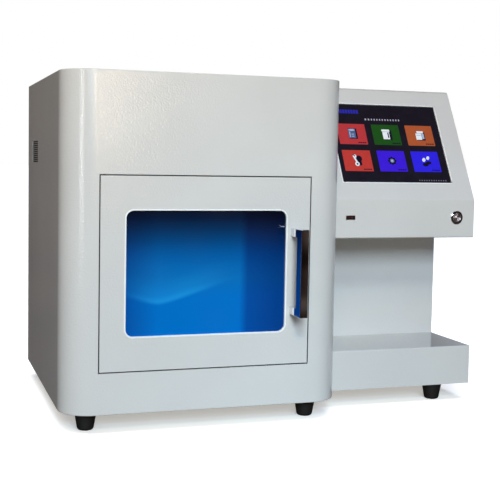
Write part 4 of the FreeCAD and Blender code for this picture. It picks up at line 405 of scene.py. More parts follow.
# %% [markdown]
# ## Finishes on the CAD pieces
# Each CAD piece names a slot, such as powder_coat, and the slot's finish goes on the piece. The
# pieces could be dressed one by one, but the record already says what each is made of.

# %% Give every CAD piece its finish
for entry in frame["record"]["subparts"]:
    piece = frame["nodes"][entry["node"]]
    piece.material_slots[0].material = FINISH[entry["material_slot"]]

# %% [markdown]
# ## Helpers for modelling
# A new piece starts as a primitive with nothing else selected. In edit mode an operator works
# on what is selected, so a second helper selects by place. A third puts a finished piece where
# it belongs and applies that place to its mesh, one joins the parts of a piece, and the last
# gives a piece its finish, lets it ride on its body and names the CAD nodes that it stands for.

# %% Start a piece and choose in it
def start(name, primitive, **settings):
    """Adds a primitive with nothing else selected, and names it."""
    if bpy.context.object and bpy.context.object.mode != "OBJECT":
        bpy.ops.object.mode_set(mode="OBJECT")
    bpy.ops.object.select_all(action="DESELECT")
    primitive(**settings)
    piece = bpy.context.object
    piece.name = piece.data.name = name
    return piece


def choose(piece, kind, test):
    """Goes to edit mode and selects only the verts, edges or faces that pass the test."""
    if piece.mode != "EDIT":
        bpy.ops.object.mode_set(mode="EDIT")
    modes = {"verts": "VERT", "edges": "EDGE", "faces": "FACE"}
    bpy.ops.mesh.select_mode(type=modes[kind])
    bpy.ops.mesh.select_all(action="DESELECT")
    mesh = bmesh.from_edit_mesh(piece.data)
    for item in getattr(mesh, kind):
        item.select_set(bool(test(item)))
    mesh.select_flush_mode()
    bmesh.update_edit_mesh(piece.data)


def centre(item):
    """Middle of an edge."""
    return (item.verts[0].co + item.verts[1].co) / 2


print("selection helpers ready")


# %% Settle, join and deliver
SMOOTH_BELOW = math.radians(35)


def settle(piece, matrix):
    """Applies a place and turn to the mesh, so that the object stays at the origin."""
    if piece.mode != "OBJECT":
        bpy.ops.object.mode_set(mode="OBJECT")
    piece.matrix_world = matrix @ piece.matrix_world
    bpy.ops.object.select_all(action="DESELECT")
    piece.select_set(True)
    bpy.context.view_layer.objects.active = piece
    bpy.ops.object.transform_apply(location=True, rotation=True, scale=True)
    return piece


def join(name, pieces):
    """Joins several pieces into one."""
    bpy.ops.object.select_all(action="DESELECT")
    for piece in pieces:
        piece.select_set(True)
    bpy.context.view_layer.objects.active = pieces[0]
    if len(pieces) > 1:
        bpy.ops.object.join()
    pieces[0].name = pieces[0].data.name = name
    return pieces[0]


def deliver(piece, body, material, slot, *nodes):
    """Finish and body of a piece, and the CAD nodes that it stands for. The slot is not used."""
    piece.data.materials.clear()
    piece.data.materials.append(material)
    bpy.ops.object.select_all(action="DESELECT")
    piece.select_set(True)
    bpy.context.view_layer.objects.active = piece
    bpy.ops.object.shade_smooth_by_angle(angle=SMOOTH_BELOW)
    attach(piece, body)
    if nodes:
        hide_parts(*nodes)
    print(piece.name, len(piece.data.polygons), "faces")
    return piece


print("edges under", round(math.degrees(SMOOTH_BELOW)), "degrees are shaded smooth")

# %% [markdown]
# ## The picture on the screen
# A display's picture is light, so its colours are emission under the same gloss as the glass.
# Each tile, icon and bar is modelled as a thin raised plate, because a shape that shows is
# geometry and not only a texture. They are drawn flat, with u to the right and w up the
# slope, and then laid on the glass, which lies 1.5 mm behind the face of the slope.

# %% The plane of the slope
# The slope starts at its foot and leans back by its run over its rise, in millimetres.
SLOPE_FOOT = Vector((68.5, -112.0, 272.5)) * MM
SLOPE_RUN, SLOPE_RISE = 82.5, 149.5
LEAN = math.atan2(SLOPE_RUN, SLOPE_RISE)
SLOPE = Matrix.Translation(SLOPE_FOOT) @ Matrix.Rotation(math.pi / 2 - LEAN, 4, "X")
GLASS_DEPTH = -1.5 * MM
glass_low, glass_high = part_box("touch_panel")
print("glass spans z", round(glass_low.z, 4), "to", round(glass_high.z, 4))

# %% Screen colours
LIT_PATCH, LIT_DIMMED = 0.004, 0.86


def lit(name, hex_value, strength=0.55, base=0.45):
    """A lit colour of the display: part emission, part what the glass reflects."""
    material, tree, shader, place = begin(name, IOR=1.5, Roughness=0.2)
    tint = colour(hex_value)
    shader.inputs["Base Color"].default_value = (*(c * base for c in tint[:3]), 1)
    cells = add(tree, "ShaderNodeTexNoise", {"Vector": place, "Scale": 1 / LIT_PATCH,
                                             "Detail": 1.0})
    darker = tuple(c * LIT_DIMMED for c in tint[:3])
    even = add(tree, "ShaderNodeValToRGB", {"Fac": cells.outputs[0]})
    tree.links.new(stops(even, (0.3, (*darker, 1)), (0.7, tint)), shader.inputs["Emission Color"])
    shader.inputs["Emission Strength"].default_value = strength
    return material


print("lit colours drift over", round(LIT_PATCH / MM), "mm")


# %% Thin plates
PLATE_CORNER_STEPS = 3


def plate(name, u, w, width, height, base, thick, bevel):
    """A thin plate with rounded corners, its lower left corner at u, w in millimetres."""
    place = ((u + width / 2) * MM, (w + height / 2) * MM, base)
    piece = start(name, bpy.ops.mesh.primitive_plane_add, size=1, location=place)
    piece.scale = (width * MM, height * MM, 1)
    bpy.ops.object.transform_apply(location=True, rotation=True, scale=True)
    choose(piece, "verts", lambda v: True)
    bpy.ops.mesh.bevel(offset=bevel * MM, segments=PLATE_CORNER_STEPS, affect="VERTICES")
    bpy.ops.mesh.select_all(action="SELECT")
    bpy.ops.mesh.extrude_region_move(TRANSFORM_OT_translate={"value": (0, 0, thick)})
    bpy.ops.mesh.select_all(action="SELECT")
    bpy.ops.mesh.normals_make_consistent(inside=False)
    bpy.ops.object.mode_set(mode="OBJECT")
    return piece


print("a plate's corner has", PLATE_CORNER_STEPS, "steps")

# %% Six tiles
# Columns and rows are the tiles' lower left corners, in millimetres along and up the slope.
PICTURE = GLASS_DEPTH + 0.02 * MM
TILE_THICK, TILE_CORNER, TILE_EDGE = 0.14 * MM, 0.8, 0.08 * MM
TILE_COLUMNS = (31.5, 82.3, 133.1)
TILE_ROWS = (83.6, 43.0)
TILE_SIZE = (41.0, 31.6)
TILES = (
    ("red", "#BC3B3F", 0, 0),
    ("green", "#1F511C", 1, 0),
    ("orange", "#B05833", 2, 0),
    ("scarlet", "#C23E38", 0, 1),
    ("violet", "#3E1FDE", 1, 1),
    ("blue", "#3026E8", 2, 1),
)
for name, hex_value, column, row in TILES:
    tile = plate(f"screen_tile_{name}", TILE_COLUMNS[column], TILE_ROWS[row], *TILE_SIZE,
                 PICTURE, TILE_THICK, TILE_CORNER)
    choose(tile, "edges", lambda e: {round(f.normal.z) for f in e.link_faces} == {0, 1})
    bpy.ops.mesh.bevel(offset=TILE_EDGE, segments=2, affect="EDGES")
    bpy.ops.object.mode_set(mode="OBJECT")
    settle(tile, SLOPE)
    deliver(tile, "cabinet", lit(f"display_{name}", hex_value), "touch_glass")

# %% [markdown]
# ### Icons
# Each tile carries a plain drawing of one job: a sample cup, the measuring chamber, a cube to
# measure, a spanner for upkeep, a settings wheel and two drops over a dish. They are built from
# flattened cylinders and plates in layers a few hundredths of a millimetre above their tile. A
# dark layer at the bottom, moved a little right and down, gives each drawing its shadow. Each
# part's place is measured in millimetres from the middle of its tile.

# %% Icon layers and colours
ICON_BASE = PICTURE + TILE_THICK
ICON_THICK = 0.06 * MM
ICON_LIGHT = lit("display_white", "#DDE4EC", 0.7)
ICON_PALE = lit("display_pale_blue", "#A9B8D6", 0.6)
ICON_SHADE = lit("display_grey_blue", "#5A6A98", 0.45)
ICON_DARK = lit("display_dark", "#1B1830", 0.3)
print("icon layers are", round(ICON_THICK / MM, 3), "mm thick")

# %% Icon parts
DISC_CHAMFER, DISC_RISE = 0.12 * MM, 0.01 * MM


def disc(name, u, w, radius, layer=0, sides=24, height=1.0, turn=0.0):
    """A flat disc or ellipse with a chamfered edge, on its layer of the icon."""
    place = (u * MM, w * MM, ICON_BASE + (layer + 0.5) * ICON_THICK)
    piece = start(name, bpy.ops.mesh.primitive_cylinder_add, vertices=sides, radius=radius * MM,
                  depth=ICON_THICK, location=place, rotation=(0, 0, turn))
    piece.scale = (1, height, 1)
    bpy.ops.object.transform_apply(location=True, rotation=True, scale=True)
    choose(piece, "faces", lambda f: f.normal.z > 0.9)
    bpy.ops.mesh.inset(thickness=DISC_CHAMFER)
    bpy.ops.transform.translate(value=(0, 0, DISC_RISE))
    bpy.ops.object.mode_set(mode="OBJECT")
    return piece


def block(name, u, w, width, height, layer=0, bevel=0.4):
    """A flat plate on its layer of the icon."""
    return plate(name, u, w, width, height, ICON_BASE + layer * ICON_THICK, ICON_THICK, bevel)


def bar(name, u, w, length, width, turn, layer=0):
    """A plate about a middle, turned in the plane of the screen."""
    piece = block(name, -length / 2, -width / 2, length, width, layer)
    return settle(piece, Matrix.Translation((u * MM, w * MM, 0)) @ Matrix.Rotation(turn, 4, "Z"))


print("a disc's edge is chamfered by", round(DISC_CHAMFER / MM, 2), "mm")


# %% Place a drawing on its tile
def icon(name, material, pieces):
    """Joins the parts of a drawing, lays it on the slope and finishes it."""
    drawing = join(name, pieces)
    settle(drawing, SLOPE)
    return deliver(drawing, "cabinet", material, "touch_glass")


def tile_middle(column, row):
    """Middle of a tile's drawing, half a millimetre above the tile's own middle."""
    return TILE_COLUMNS[column] + TILE_SIZE[0] / 2, TILE_ROWS[row] + TILE_SIZE[1] / 2 + 0.5


print("the first drawing's middle is at", tile_middle(0, 0))

# %% Cup, chamber and cube
u, w = tile_middle(0, 0)
icon("icon_cup_dark", ICON_DARK, [block("cup_shadow", u - 5.6, w - 8, 12.8, 16, 0, 0.8)])
icon("icon_cup", ICON_SHADE, [block("cup_wall", u - 5.6, w - 7, 10.6, 14.6, 1, 1.0)])
icon("icon_cup_light", ICON_PALE, [disc("cup_rim", u - 0.2, w + 5.6, 4.6, 2, 24, 0.3),
                                   block("cup_gleam", u - 4.2, w - 5.5, 1.5, 8.6, 2),
                                   block("cup_mark", u - 1.2, w - 4.6, 3.6, 1.2, 2, 0.2),
                                   block("cup_mark_high", u - 1.2, w - 1.4, 3.6, 1.2, 2, 0.2)])
u, w = tile_middle(1, 0)
icon("icon_chamber_dark", ICON_DARK, [block("chamber_shadow", u - 5, w - 8.4, 13, 15.6, 0, 0.8)])
icon("icon_chamber", ICON_LIGHT, [block("chamber_body", u - 5.5, w - 7.4, 10, 11.4, 1, 0.8),
                                  block("chamber_cap_drawn", u - 6.3, w + 4.4, 11.8, 3.4, 1, 0.9)])
icon("icon_chamber_shade", ICON_DARK, [block("chamber_side", u + 1.8, w - 5.6, 1.6, 8.6, 2, 0.3)])
u, w = tile_middle(2, 0)
icon("icon_cube_dark", ICON_DARK, [block("cube_shadow", u - 5, w - 8, 12.6, 13, 0, 0.6)])
icon("icon_cube", ICON_LIGHT, [block("cube_front", u - 6.2, w - 7, 8.6, 10, 1, 0.5),
                               block("cube_top", u - 4.2, w + 3.4, 10, 3.2, 1, 0.8)])
icon("icon_cube_shade", ICON_PALE, [block("cube_side", u + 2.8, w - 5.6, 3.4, 8.6, 1, 0.5),
                                    block("cube_line", u - 5.2, w - 0.4, 6.6, 1, 2, 0.2)])

# %% Spanner, wheel and drops
u, w = tile_middle(0, 1)
icon("icon_spanner_dark", ICON_DARK, [disc("spanner_dial", u + 2.2, w + 2.6, 4.6),
                                      block("spanner_foot", u - 1.2, w - 7.8, 6.6, 8.4, 0, 0.8)])
STEM_TURN, MOUTH_TURN, DROP_TURN = math.radians(112), math.radians(125), math.radians(60)
icon("icon_spanner", ICON_LIGHT, [bar("spanner_stem", u - 2.6, w + 0.4, 12, 2.4, STEM_TURN, 1),
                                  disc("spanner_ring", u - 1.4, w - 5.6, 3.2, 1),
                                  disc("spanner_jaw", u - 3.4, w + 6.0, 2.6, 1)])
icon("icon_spanner_hole", ICON_DARK, [disc("spanner_eye", u - 1.4, w - 5.6, 1.5, 2, 6),
                                      bar("spanner_mouth", u - 4.2, w + 7.4, 3.6, 1.5,
                                          MOUTH_TURN, 2)])
u, w = tile_middle(1, 1)
WHEEL_RADIUS, TEETH = 5.0, 8
teeth = []
for step in range(TEETH):
    angle = step * 2 * math.pi / TEETH
    tooth_u, tooth_w = u + WHEEL_RADIUS * math.cos(angle), w + WHEEL_RADIUS * math.sin(angle)
    teeth.append(disc(f"tooth_{step}", tooth_u, tooth_w, 1.4, 0, 8))
icon("icon_wheel", ICON_DARK, [disc("wheel_disc", u, w, WHEEL_RADIUS), *teeth])
icon("icon_wheel_hub", ICON_PALE, [disc("wheel_hub", u, w, 1.9, 2)])
icon("icon_wheel_face", ICON_SHADE, [disc("wheel_face", u, w, 3.3, 1)])
u, w = tile_middle(2, 1)
icon("icon_drops", ICON_LIGHT, [disc("drop_left", u - 2.6, w + 2.2, 3.2, 1, 24, 0.72, DROP_TURN),
                                disc("drop_right", u + 4.0, w + 5.2, 2.9, 1, 24, 0.72, DROP_TURN)])
icon("icon_drops_dish", ICON_DARK, [disc("dish_left", u - 1.4, w - 5.0, 4.4, 0, 24, 0.62),
                                    disc("dish_right", u + 3.8, w - 2.2, 4.0, 0, 24, 0.62)])

# %% [markdown]
# ### Bars in place of words
# The screen carries no words. A row of short pale dashes stands where a title would be, a
# fainter row where a footer would be, a small segmented gauge is at the upper left, and each
# tile has a dark bar at its lower right. They are made from one plate per dash, joined.

# %% Rows of dashes
DASH_THICK, DASH_CORNER = 0.08 * MM, 0.2


def dashes(name, material, u, w, lengths, height, gap):
    """A row of dashes that starts at u, w. Lengths, height and gap are in millimetres."""
    pieces = []
    for number, length in enumerate(lengths):
        pieces.append(plate(f"{name}_{number}", u, w, length, height, PICTURE, DASH_THICK,
                            DASH_CORNER))
        u += length + gap
    row = join(name, pieces)
    settle(row, SLOPE)
    return deliver(row, "cabinet", material, "touch_glass")


print("dashes are", round(DASH_THICK / MM, 2), "mm thick")

# %% Title, footer, gauge and tile bars
TITLE_AT, FOOTER_AT, GAUGE_AT = (75, 121.6), (137, 29.2), (36, 131.5)
dashes("screen_title", lit("display_title", "#B4B0C2", 0.6), *TITLE_AT,
       (2.2, 2.2) + (1.6,) * 11, 2.6, 2.5)
dashes("screen_footer", lit("display_footer", "#8C879C", 0.45), *FOOTER_AT,
       (1.3,) * 12, 1.7, 2.3)
dashes("screen_gauge", lit("display_gauge", "#2C2CA8", 0.6), *GAUGE_AT,
       (3.2,) * 8, 6.0, 0.8)
BAR_IN, BAR_UP, BAR_PITCH, BAR_SIZE = 27, 2.0, 3.1, (2.4, 1.6)
for name, _, column, row in TILES:
    bar_u = TILE_COLUMNS[column] + BAR_IN
    bar_w = TILE_ROWS[row] + BAR_UP
    bars = [block(f"bar_{name}_{i}", bar_u + i * BAR_PITCH, bar_w, *BAR_SIZE, 0, 0.2)
            for i in range(4)]
    icon(f"tile_bar_{name}", ICON_DARK, bars)

# %% [markdown]
# ## Power button
# A stainless push button is turned on a lathe, which leaves fine rings round its axis. They
# spread each reflection along one line through the middle, so the cap shows a bright slanted
# band. The rings are a wave pattern round the button's own axis. The cap is slightly hollow
# inside a raised lip, and its barrel has a polished bezel that falls away to its edge as a low
# dome. Both could be spun from a profile. Here each is a cylinder whose face is inset and moved
# in or out several times, which leaves clean rings of faces and no pole to mend.

# %% Turned rings round one axis
# The wave texture draws a ring every 0.314 m at scale 1.
RING_AT_SCALE_1 = 0.314


def turned_round(name, middle, tint, roughness, pitch):
    """Rings round an axis that points along Y and passes through the middle."""
    material, tree, shader, place = begin(name, Metallic=1.0, Roughness=roughness)
    shader.inputs["Base Color"].default_value = colour(tint)
    centred = add(tree, "ShaderNodeMapping", {"Vector": place,
                                              "Location": tuple(-c for c in middle)})
    rings = add(tree, "ShaderNodeTexWave", {"Vector": centred.outputs[0],
                                            "Scale": RING_AT_SCALE_1 / pitch,
                                            "Distortion": 0.6, "Detail": 1.0},
                wave_type="RINGS", rings_direction="Y")
    bump = add(tree, "ShaderNodeBump", {"Height": rings.outputs[1], "Strength": 1.0,
                                        "Distance": pitch * 0.22})
    tree.links.new(bump.outputs[0], shader.inputs["Normal"])
    return material


print("scale 1 gives a ring every", RING_AT_SCALE_1, "m")

# %% Power button's cap
# The lathe's rings are really 0.1 mm apart, and are drawn at 0.4 mm so that they show.
RING_PITCH = 0.0004
EDGE_ROUND, LIP_WIDE, LIP_DEEP = 0.7 * MM, 0.5 * MM, 0.25 * MM
# The dish is five rings wide. Each ring goes down a little less than the one outside it.
DISH_RINGS, DISH_WIDE, DISH_DEEP, DISH_EASE = 5, 0.85 * MM, 0.10, 0.02
cap_low, cap_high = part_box("power_button")
cap_middle = (cap_low + cap_high) / 2
cap_radius = (cap_high.x - cap_low.x) / 2
cap_depth = cap_high.y - cap_low.y
button_steel = turned_round("turned_button_steel", cap_middle, "#BCB0B4", 0.30, RING_PITCH)
cap = start("button_cap_dished", bpy.ops.mesh.primitive_cylinder_add, vertices=64,
            radius=cap_radius, depth=cap_depth, location=(0, 0, 0))
choose(cap, "edges", lambda e: centre(e).z > cap_depth * 0.49
       and abs(e.verts[0].co.z - e.verts[1].co.z) < 1e-6)
bpy.ops.mesh.bevel(offset=EDGE_ROUND, segments=3, affect="EDGES")
choose(cap, "faces", lambda f: f.normal.z > 0.99)
bpy.ops.mesh.inset(thickness=LIP_WIDE)
bpy.ops.transform.translate(value=(0, 0, -LIP_DEEP))
for step in range(DISH_RINGS):
    bpy.ops.mesh.inset(thickness=DISH_WIDE)
    bpy.ops.transform.translate(value=(0, 0, -(DISH_DEEP - DISH_EASE * step) * MM))
bpy.ops.object.mode_set(mode="OBJECT")
settle(cap, Matrix.Translation(cap_middle) @ Matrix.Rotation(math.pi / 2, 4, "X"))
deliver(cap, "button_cap", button_steel, "turned_stainless", "power_button")

# %% Power button's barrel and domed bezel
# The flange rises in five rings from its edge to its lip. The lip's inside then goes down as
# the bore of the cap, and the back is drawn out as the barrel, closed at its end.
FLANGE, BARREL_RADIUS, BARREL_END = 2 * MM, 8 * MM, 3 * MM
DOME = ((0.40, 0.30), (0.50, 0.27), (0.60, 0.22), (0.60, 0.14), (0.60, 0.05))
barrel_low, barrel_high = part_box("button_barrel")
barrel_long = barrel_high.y - barrel_low.y
flange_radius = (barrel_high.x - barrel_low.x) / 2
rim = FLANGE - sum(up_by for _, up_by in DOME) * MM
barrel = start("button_barrel_domed", bpy.ops.mesh.primitive_cylinder_add, vertices=64,
               radius=flange_radius, depth=rim, location=(0, 0, rim / 2))
choose(barrel, "faces", lambda f: f.normal.z > 0.99)
for inward, up_by in DOME:
    bpy.ops.mesh.inset(thickness=inward * MM)
    bpy.ops.transform.translate(value=(0, 0, up_by * MM))
bore = -(barrel_long - BARREL_END)
bpy.ops.mesh.extrude_region_move(TRANSFORM_OT_translate={"value": (0, 0, bore)})
choose(barrel, "faces", lambda f: f.normal.z < -0.99)
bpy.ops.mesh.inset(thickness=flange_radius - BARREL_RADIUS)
behind = -(barrel_long - FLANGE)
bpy.ops.mesh.extrude_region_move(TRANSFORM_OT_translate={"value": (0, 0, behind)})
bpy.ops.mesh.select_all(action="SELECT")
bpy.ops.mesh.normals_make_consistent(inside=False)
flange_back = Vector((cap_middle.x, barrel_low.y + FLANGE, cap_middle.z))
settle(barrel, Matrix.Translation(flange_back) @ Matrix.Rotation(math.pi / 2, 4, "X"))
deliver(barrel, "cabinet", FINISH["polished_chrome"], "turned_stainless", "button_barrel")

# %% [markdown]
# ## Beads round the window and the screen
# The pane and the touch glass are each bedded in an opening, and a neat bead of white silicone
# closes the corner and rolls over the painted edge. It catches the light as a thin bright line,
# and its white is partly a painted highlight that stands in for the light the edge catches.
# A bead starts as a plane with its corners rounded, is inset by the bead's width, loses its
# middle, and is then extruded and rounded at the front.

# %% Silicone
# Silicone rubber smoothed with a wet tool: white and glossy, with a low IOR. Its near-pure
# white is partly a painted highlight on the edges of the openings.
FINISH["white_silicone"] = moulded("tooled_white_silicone", "#FBFCFD", "#F1F4F6", 0.3, 0.0012,
                                   1e-5, 1.41)
print(len(FINISH), "finishes in all")

# %% The shape of a bead
BEAD_CORNER_STEPS = 10


def bead(name, width, height, corner, wide, deep, rounding):
    """A flat ring, centred, its outside width by height, that stands up along Z."""
    ring = start(name, bpy.ops.mesh.primitive_plane_add, size=1, location=(0, 0, 0))
    ring.scale = (width, height, 1)
    bpy.ops.object.transform_apply(location=True, rotation=True, scale=True)
    choose(ring, "verts", lambda v: True)
    bpy.ops.mesh.bevel(offset=corner, segments=BEAD_CORNER_STEPS, affect="VERTICES")
    choose(ring, "faces", lambda f: True)
    bpy.ops.mesh.inset(thickness=wide)
    bpy.ops.mesh.delete(type="FACE")
    choose(ring, "faces", lambda f: True)
    bpy.ops.mesh.extrude_region_move(TRANSFORM_OT_translate={"value": (0, 0, deep)})
    choose(ring, "edges", lambda e: centre(e).z > deep * 0.9
           and len({round(f.normal.z) for f in e.link_faces}) == 2)
    bpy.ops.mesh.bevel(offset=rounding, segments=3, affect="EDGES")
    bpy.ops.mesh.select_all(action="SELECT")
    bpy.ops.mesh.normals_make_consistent(inside=False)
    return ring


print("a bead's corner has", BEAD_CORNER_STEPS, "steps")

# %% Window bead
# The bead's white stands in for the highlight on the edge of the window's opening as well.
LAP_OVER, PROUD, BEAD_CORNER, BEAD_WIDE, BEAD_ROUND = (n * MM for n in (0.8, 0.3, 10.8, 2, 0.6))
pane_front = Vector(((pane_low.x + pane_high.x) / 2, pane_low.y, (pane_low.z + pane_high.z) / 2))
door_low, door_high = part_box("door_shell")
window_bead_highlight = bead("window_bead_highlight", opening.x + 2 * LAP_OVER, opening.z + 2 * LAP_OVER,
                   BEAD_CORNER, BEAD_WIDE, pane_low.y - door_low.y + PROUD, BEAD_ROUND)
settle(window_bead_highlight, Matrix.Translation(pane_front) @ Matrix.Rotation(math.pi / 2, 4, "X"))
deliver(window_bead_highlight, "door", FINISH["white_silicone"], "natural_nylon")

# %% [markdown]
# ## Door edge strip and painted shade in the gap
# A thin black rubber strip runs round the door's edge, just behind its face. It quiets the
# door, and its black is also painted shade: it stands in for the shade in the gap round the
# door and makes the gap read as a crisp dark line. It has the same shape as a bead, a closed
# ring with a rounded front, so the same function makes it. It rides on the door.

# %% Door edge strip, black as painted shade in the gap
STRIP_REACH, STRIP_BITE, STRIP_SET_BACK, STRIP_DEPTH = (n * MM for n in (0.9, 0.4, 1.0, 4))
STRIP_CORNER, STRIP_ROUND = 1.6 * MM, 0.3 * MM
strip_size = door_high - door_low + Vector((2 * STRIP_REACH, 0, 2 * STRIP_REACH))
gap_shade_strip = bead("door_seal_and_gap_shade", strip_size.x, strip_size.z, STRIP_CORNER,
                  STRIP_REACH + STRIP_BITE, STRIP_DEPTH, STRIP_ROUND)
strip_back = Vector(((door_low.x + door_high.x) / 2, door_low.y + STRIP_SET_BACK + STRIP_DEPTH,
                     (door_low.z + door_high.z) / 2))
settle(gap_shade_strip, Matrix.Translation(strip_back) @ Matrix.Rotation(math.pi / 2, 4, "X"))
deliver(gap_shade_strip, "door", FINISH["black_rubber"], "black_rubber")

# %% [markdown]
# ## Screen bead
# The touch glass gets the same bead as the window, but finer, and with nearly square corners.
# It is made flat like the others, and then laid on the slope as the screen's picture was.

# %% Screen bead
# Its white line is partly a painted highlight on the edge of the screen's opening.
# The opening's two ends along and up the slope, and how far the bead rolls over it in all.
SCREEN_U, SCREEN_W, ROLL_OVER = (23.5, 186), (25, 147), 0.8
FINE_CORNER, FINE_WIDE, FINE_PROUD, FINE_ROUND = (n * MM for n in (1.2, 1.4, 0.15, 0.3))
screen_bead_highlight = bead("screen_bead_highlight", (SCREEN_U[1] - SCREEN_U[0] + ROLL_OVER) * MM,
                   (SCREEN_W[1] - SCREEN_W[0] + ROLL_OVER) * MM, FINE_CORNER, FINE_WIDE,
                   -GLASS_DEPTH + FINE_PROUD, FINE_ROUND)
screen_middle = Vector((sum(SCREEN_U) / 2 * MM, sum(SCREEN_W) / 2 * MM, GLASS_DEPTH))
settle(screen_bead_highlight, SLOPE @ Matrix.Translation(screen_middle))
deliver(screen_bead_highlight, "cabinet", FINISH["white_silicone"], "natural_nylon")

# %% [markdown]
# ## Studio
# The meter stands on a plain white floor. The key light is broad and stands in front, a little
# to the left, as a window behind the viewer would: it leaves the left side dim, rolls gently
# round both front bends, and throws the console's head as a soft shadow on its column. One large
# light would do for a plain picture. Several small ones are used because each brings out one
# thing: the shape of the side, the paint's texture, the bend, or the foot of the front.

# %% Floor
# The floor glows a little, so that it stays white, and lends the meter no light and no mirror.
FLOOR_SIZE, FLOOR_GLOW = 60, 0.35
floor = start("floor", bpy.ops.mesh.primitive_plane_add, size=FLOOR_SIZE, location=(0, 0, 0))
white, tree, shader, place = begin("white_floor", Roughness=0.9)
shader.inputs["Base Color"].default_value = colour("#F6F6F6")
shader.inputs["Emission Color"].default_value = (1, 1, 1, 1)
shader.inputs["Emission Strength"].default_value = FLOOR_GLOW
shader.inputs["Specular IOR Level"].default_value = 0.0
floor.data.materials.append(white)
floor.visible_diffuse = False
floor.visible_glossy = False
print("floor", FLOOR_SIZE, "m wide")

# %% Four lamps for the body
def area_light(name, place, target, size, power, tint):
    """A rectangular lamp at a place, aimed at a target. Power is in watts."""
    data = bpy.data.lights.new(name, "AREA")
    data.shape = "RECTANGLE"
    data.size, data.size_y = size
    data.energy = power
    data.color = colour(tint)[:3]
    lamp = bpy.data.objects.new(name, data)
    bpy.context.scene.collection.objects.link(lamp)
    lamp.location = place
    lamp.rotation_euler = (Vector(place) - Vector(target)).to_track_quat("Z", "Y").to_euler()
    return lamp


# The key light is cool. A warm lamp above and a warm glow from the left keep the paint from
# looking blue near the top, and the rear light shows the back when the meter is turned.
area_light("key_light", (-0.50, -2.95, 1.22), (0, 0, 0.2), (1.3, 0.7), 67, "#D8E9F2")
warm = area_light("warm_lamp", (-0.35, -1.35, 1.25), (-0.1, 0, 0.3), (0.6, 0.4), 7.4, "#FFCD70")
side = area_light("side_glow", (-1.3, 0.0, 1.5), (-0.28, 0, 0.42), (0.6, 0.6), 8.0, "#F2E2C4")
rear = area_light("rear_light", (1.0, 2.9, 1.5), (0, 0, 0.2), (1.6, 1.2), 75, "#F6FAFF")
warm.visible_glossy = side.visible_glossy = rear.visible_glossy = False
print("four area lamps")

# %% Two narrow lamps
# They are seen only in reflections. The gleam breaks up on the orange peel at the upper left
# of the front, and the strip draws the bright line down the left bend.
gleam = area_light("gleam", (-0.05, -1.9, 0.54), (-0.25, -0.164, 0.40), (0.03, 0.26), 4.6,
                   "#FFE0B8")
strip = area_light("strip_light", (-2.19, -2.40, 0.55), (-0.27, -0.15, 0.3), (0.05, 0.9), 13.0,
                   "#FFFFFF")
gleam.visible_diffuse = strip.visible_diffuse = False
print("gleam", round(gleam.data.energy, 1), "W, strip", round(strip.data.energy, 1), "W")

# %% Foot spot
# A cool spot aimed at the foot of the front, whose wide soft edge fades out towards the top.
FOOT_PLACE, FOOT_AIM = Vector((-0.7, -2.6, 1.9)), Vector((0.03, -0.16, -0.09))
foot_spot = bpy.data.lights.new("foot_spot", "SPOT")
foot_spot.energy = 182
foot_spot.color = colour("#AEE4FF")[:3]
foot_spot.spot_size = math.radians(16)
foot_spot.spot_blend = 1.0
foot_spot.shadow_soft_size = 0.3
foot_lamp = bpy.data.objects.new("foot_spot", foot_spot)
bpy.context.scene.collection.objects.link(foot_lamp)
foot_lamp.location = FOOT_PLACE
foot_lamp.rotation_euler = (FOOT_PLACE - FOOT_AIM).to_track_quat("Z", "Y").to_euler()
foot_lamp.visible_glossy = False
print("foot spot", foot_spot.energy, "W")

# %% Light for the floor alone
# The floor has a light of its own, straight above, so that it is white but keeps the soft
# shadow that the meter casts close under itself.
sun = bpy.data.lights.new("floor_light", "SUN")
sun.energy = 2.5
sun.angle = math.radians(50)
floor_light = bpy.data.objects.new("floor_light", sun)
bpy.context.scene.collection.objects.link(floor_light)
only_floor = bpy.data.collections.new("only_floor")
only_floor.objects.link(floor)
floor_light.light_linking.receiver_collection = only_floor

# The rear light is for the meter alone, so that no shadow falls forward on the floor.
all_but_floor = bpy.data.collections.new("all_but_floor")
all_but_floor.objects.link(floor)
all_but_floor.collection_objects[0].light_linking.link_state = "EXCLUDE"
rear.light_linking.receiver_collection = all_but_floor

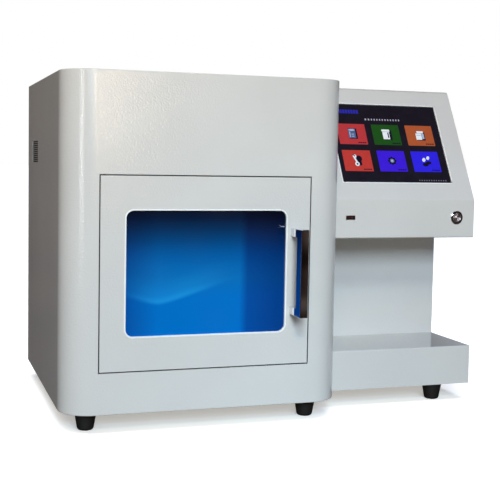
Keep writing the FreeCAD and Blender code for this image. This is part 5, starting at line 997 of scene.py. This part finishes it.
# %% [markdown]
# ### Room
# The room is three things at once. The camera sees plain white behind the meter. Matt surfaces
# get a soft light that is warm from below and faintly blue from above. Polished ones mirror a
# dim, cluttered room, because chrome in an empty white one would look like plastic. The kind
# of ray that asks decides between them, and a picture of a real room isn't needed.

# %% Soft light and mirrored room
WARM_BELOW, COOL_ABOVE = (0.295, 0.262, 0.18, 1), (0.0, 0.04, 0.18, 1)
world = bpy.data.worlds.new("studio")
world.use_nodes = True
bpy.context.scene.world = world
tree = world.node_tree
tree.nodes.clear()
way = add(tree, "ShaderNodeTexCoord").outputs["Generated"]
heading = add(tree, "ShaderNodeSeparateXYZ", {"Vector": way})
rising = add(tree, "ShaderNodeMapRange", {"Value": heading.outputs["Z"], "From Min": -0.5,
                                          "From Max": 0.6})
tone = add(tree, "ShaderNodeValToRGB", {"Fac": rising.outputs[0]})
cast = stops(tone, (0.0, WARM_BELOW), (1.0, COOL_ABOVE))
soft = add(tree, "ShaderNodeBackground", {"Color": cast, "Strength": 1.0})
clutter = add(tree, "ShaderNodeTexNoise", {"Vector": way, "Scale": 34.0, "Detail": 5.0})
seen = add(tree, "ShaderNodeValToRGB", {"Fac": clutter.outputs[0]})
stops(seen, (0.42, colour("#060505")), (0.50, colour("#2B1F1B")), (0.64, colour("#5E524C")))
mirrored = add(tree, "ShaderNodeBackground", {"Color": seen.outputs[0], "Strength": 1.0})
print("room has", len(tree.nodes), "nodes so far")

# %% Choose by the kind of ray
plain = add(tree, "ShaderNodeBackground", {"Color": (1, 1, 1, 1), "Strength": 1.0})
ray = add(tree, "ShaderNodeLightPath")
inside = add(tree, "ShaderNodeMixShader", {0: ray.outputs["Is Glossy Ray"], 1: soft.outputs[0],
                                           2: mirrored.outputs[0]})
both = add(tree, "ShaderNodeMixShader", {0: ray.outputs["Is Camera Ray"], 1: inside.outputs[0],
                                         2: plain.outputs[0]})
add(tree, "ShaderNodeOutputWorld", {"Surface": both.outputs[0]})
bpy.context.scene.view_settings.view_transform = "Standard"
print("studio ready")
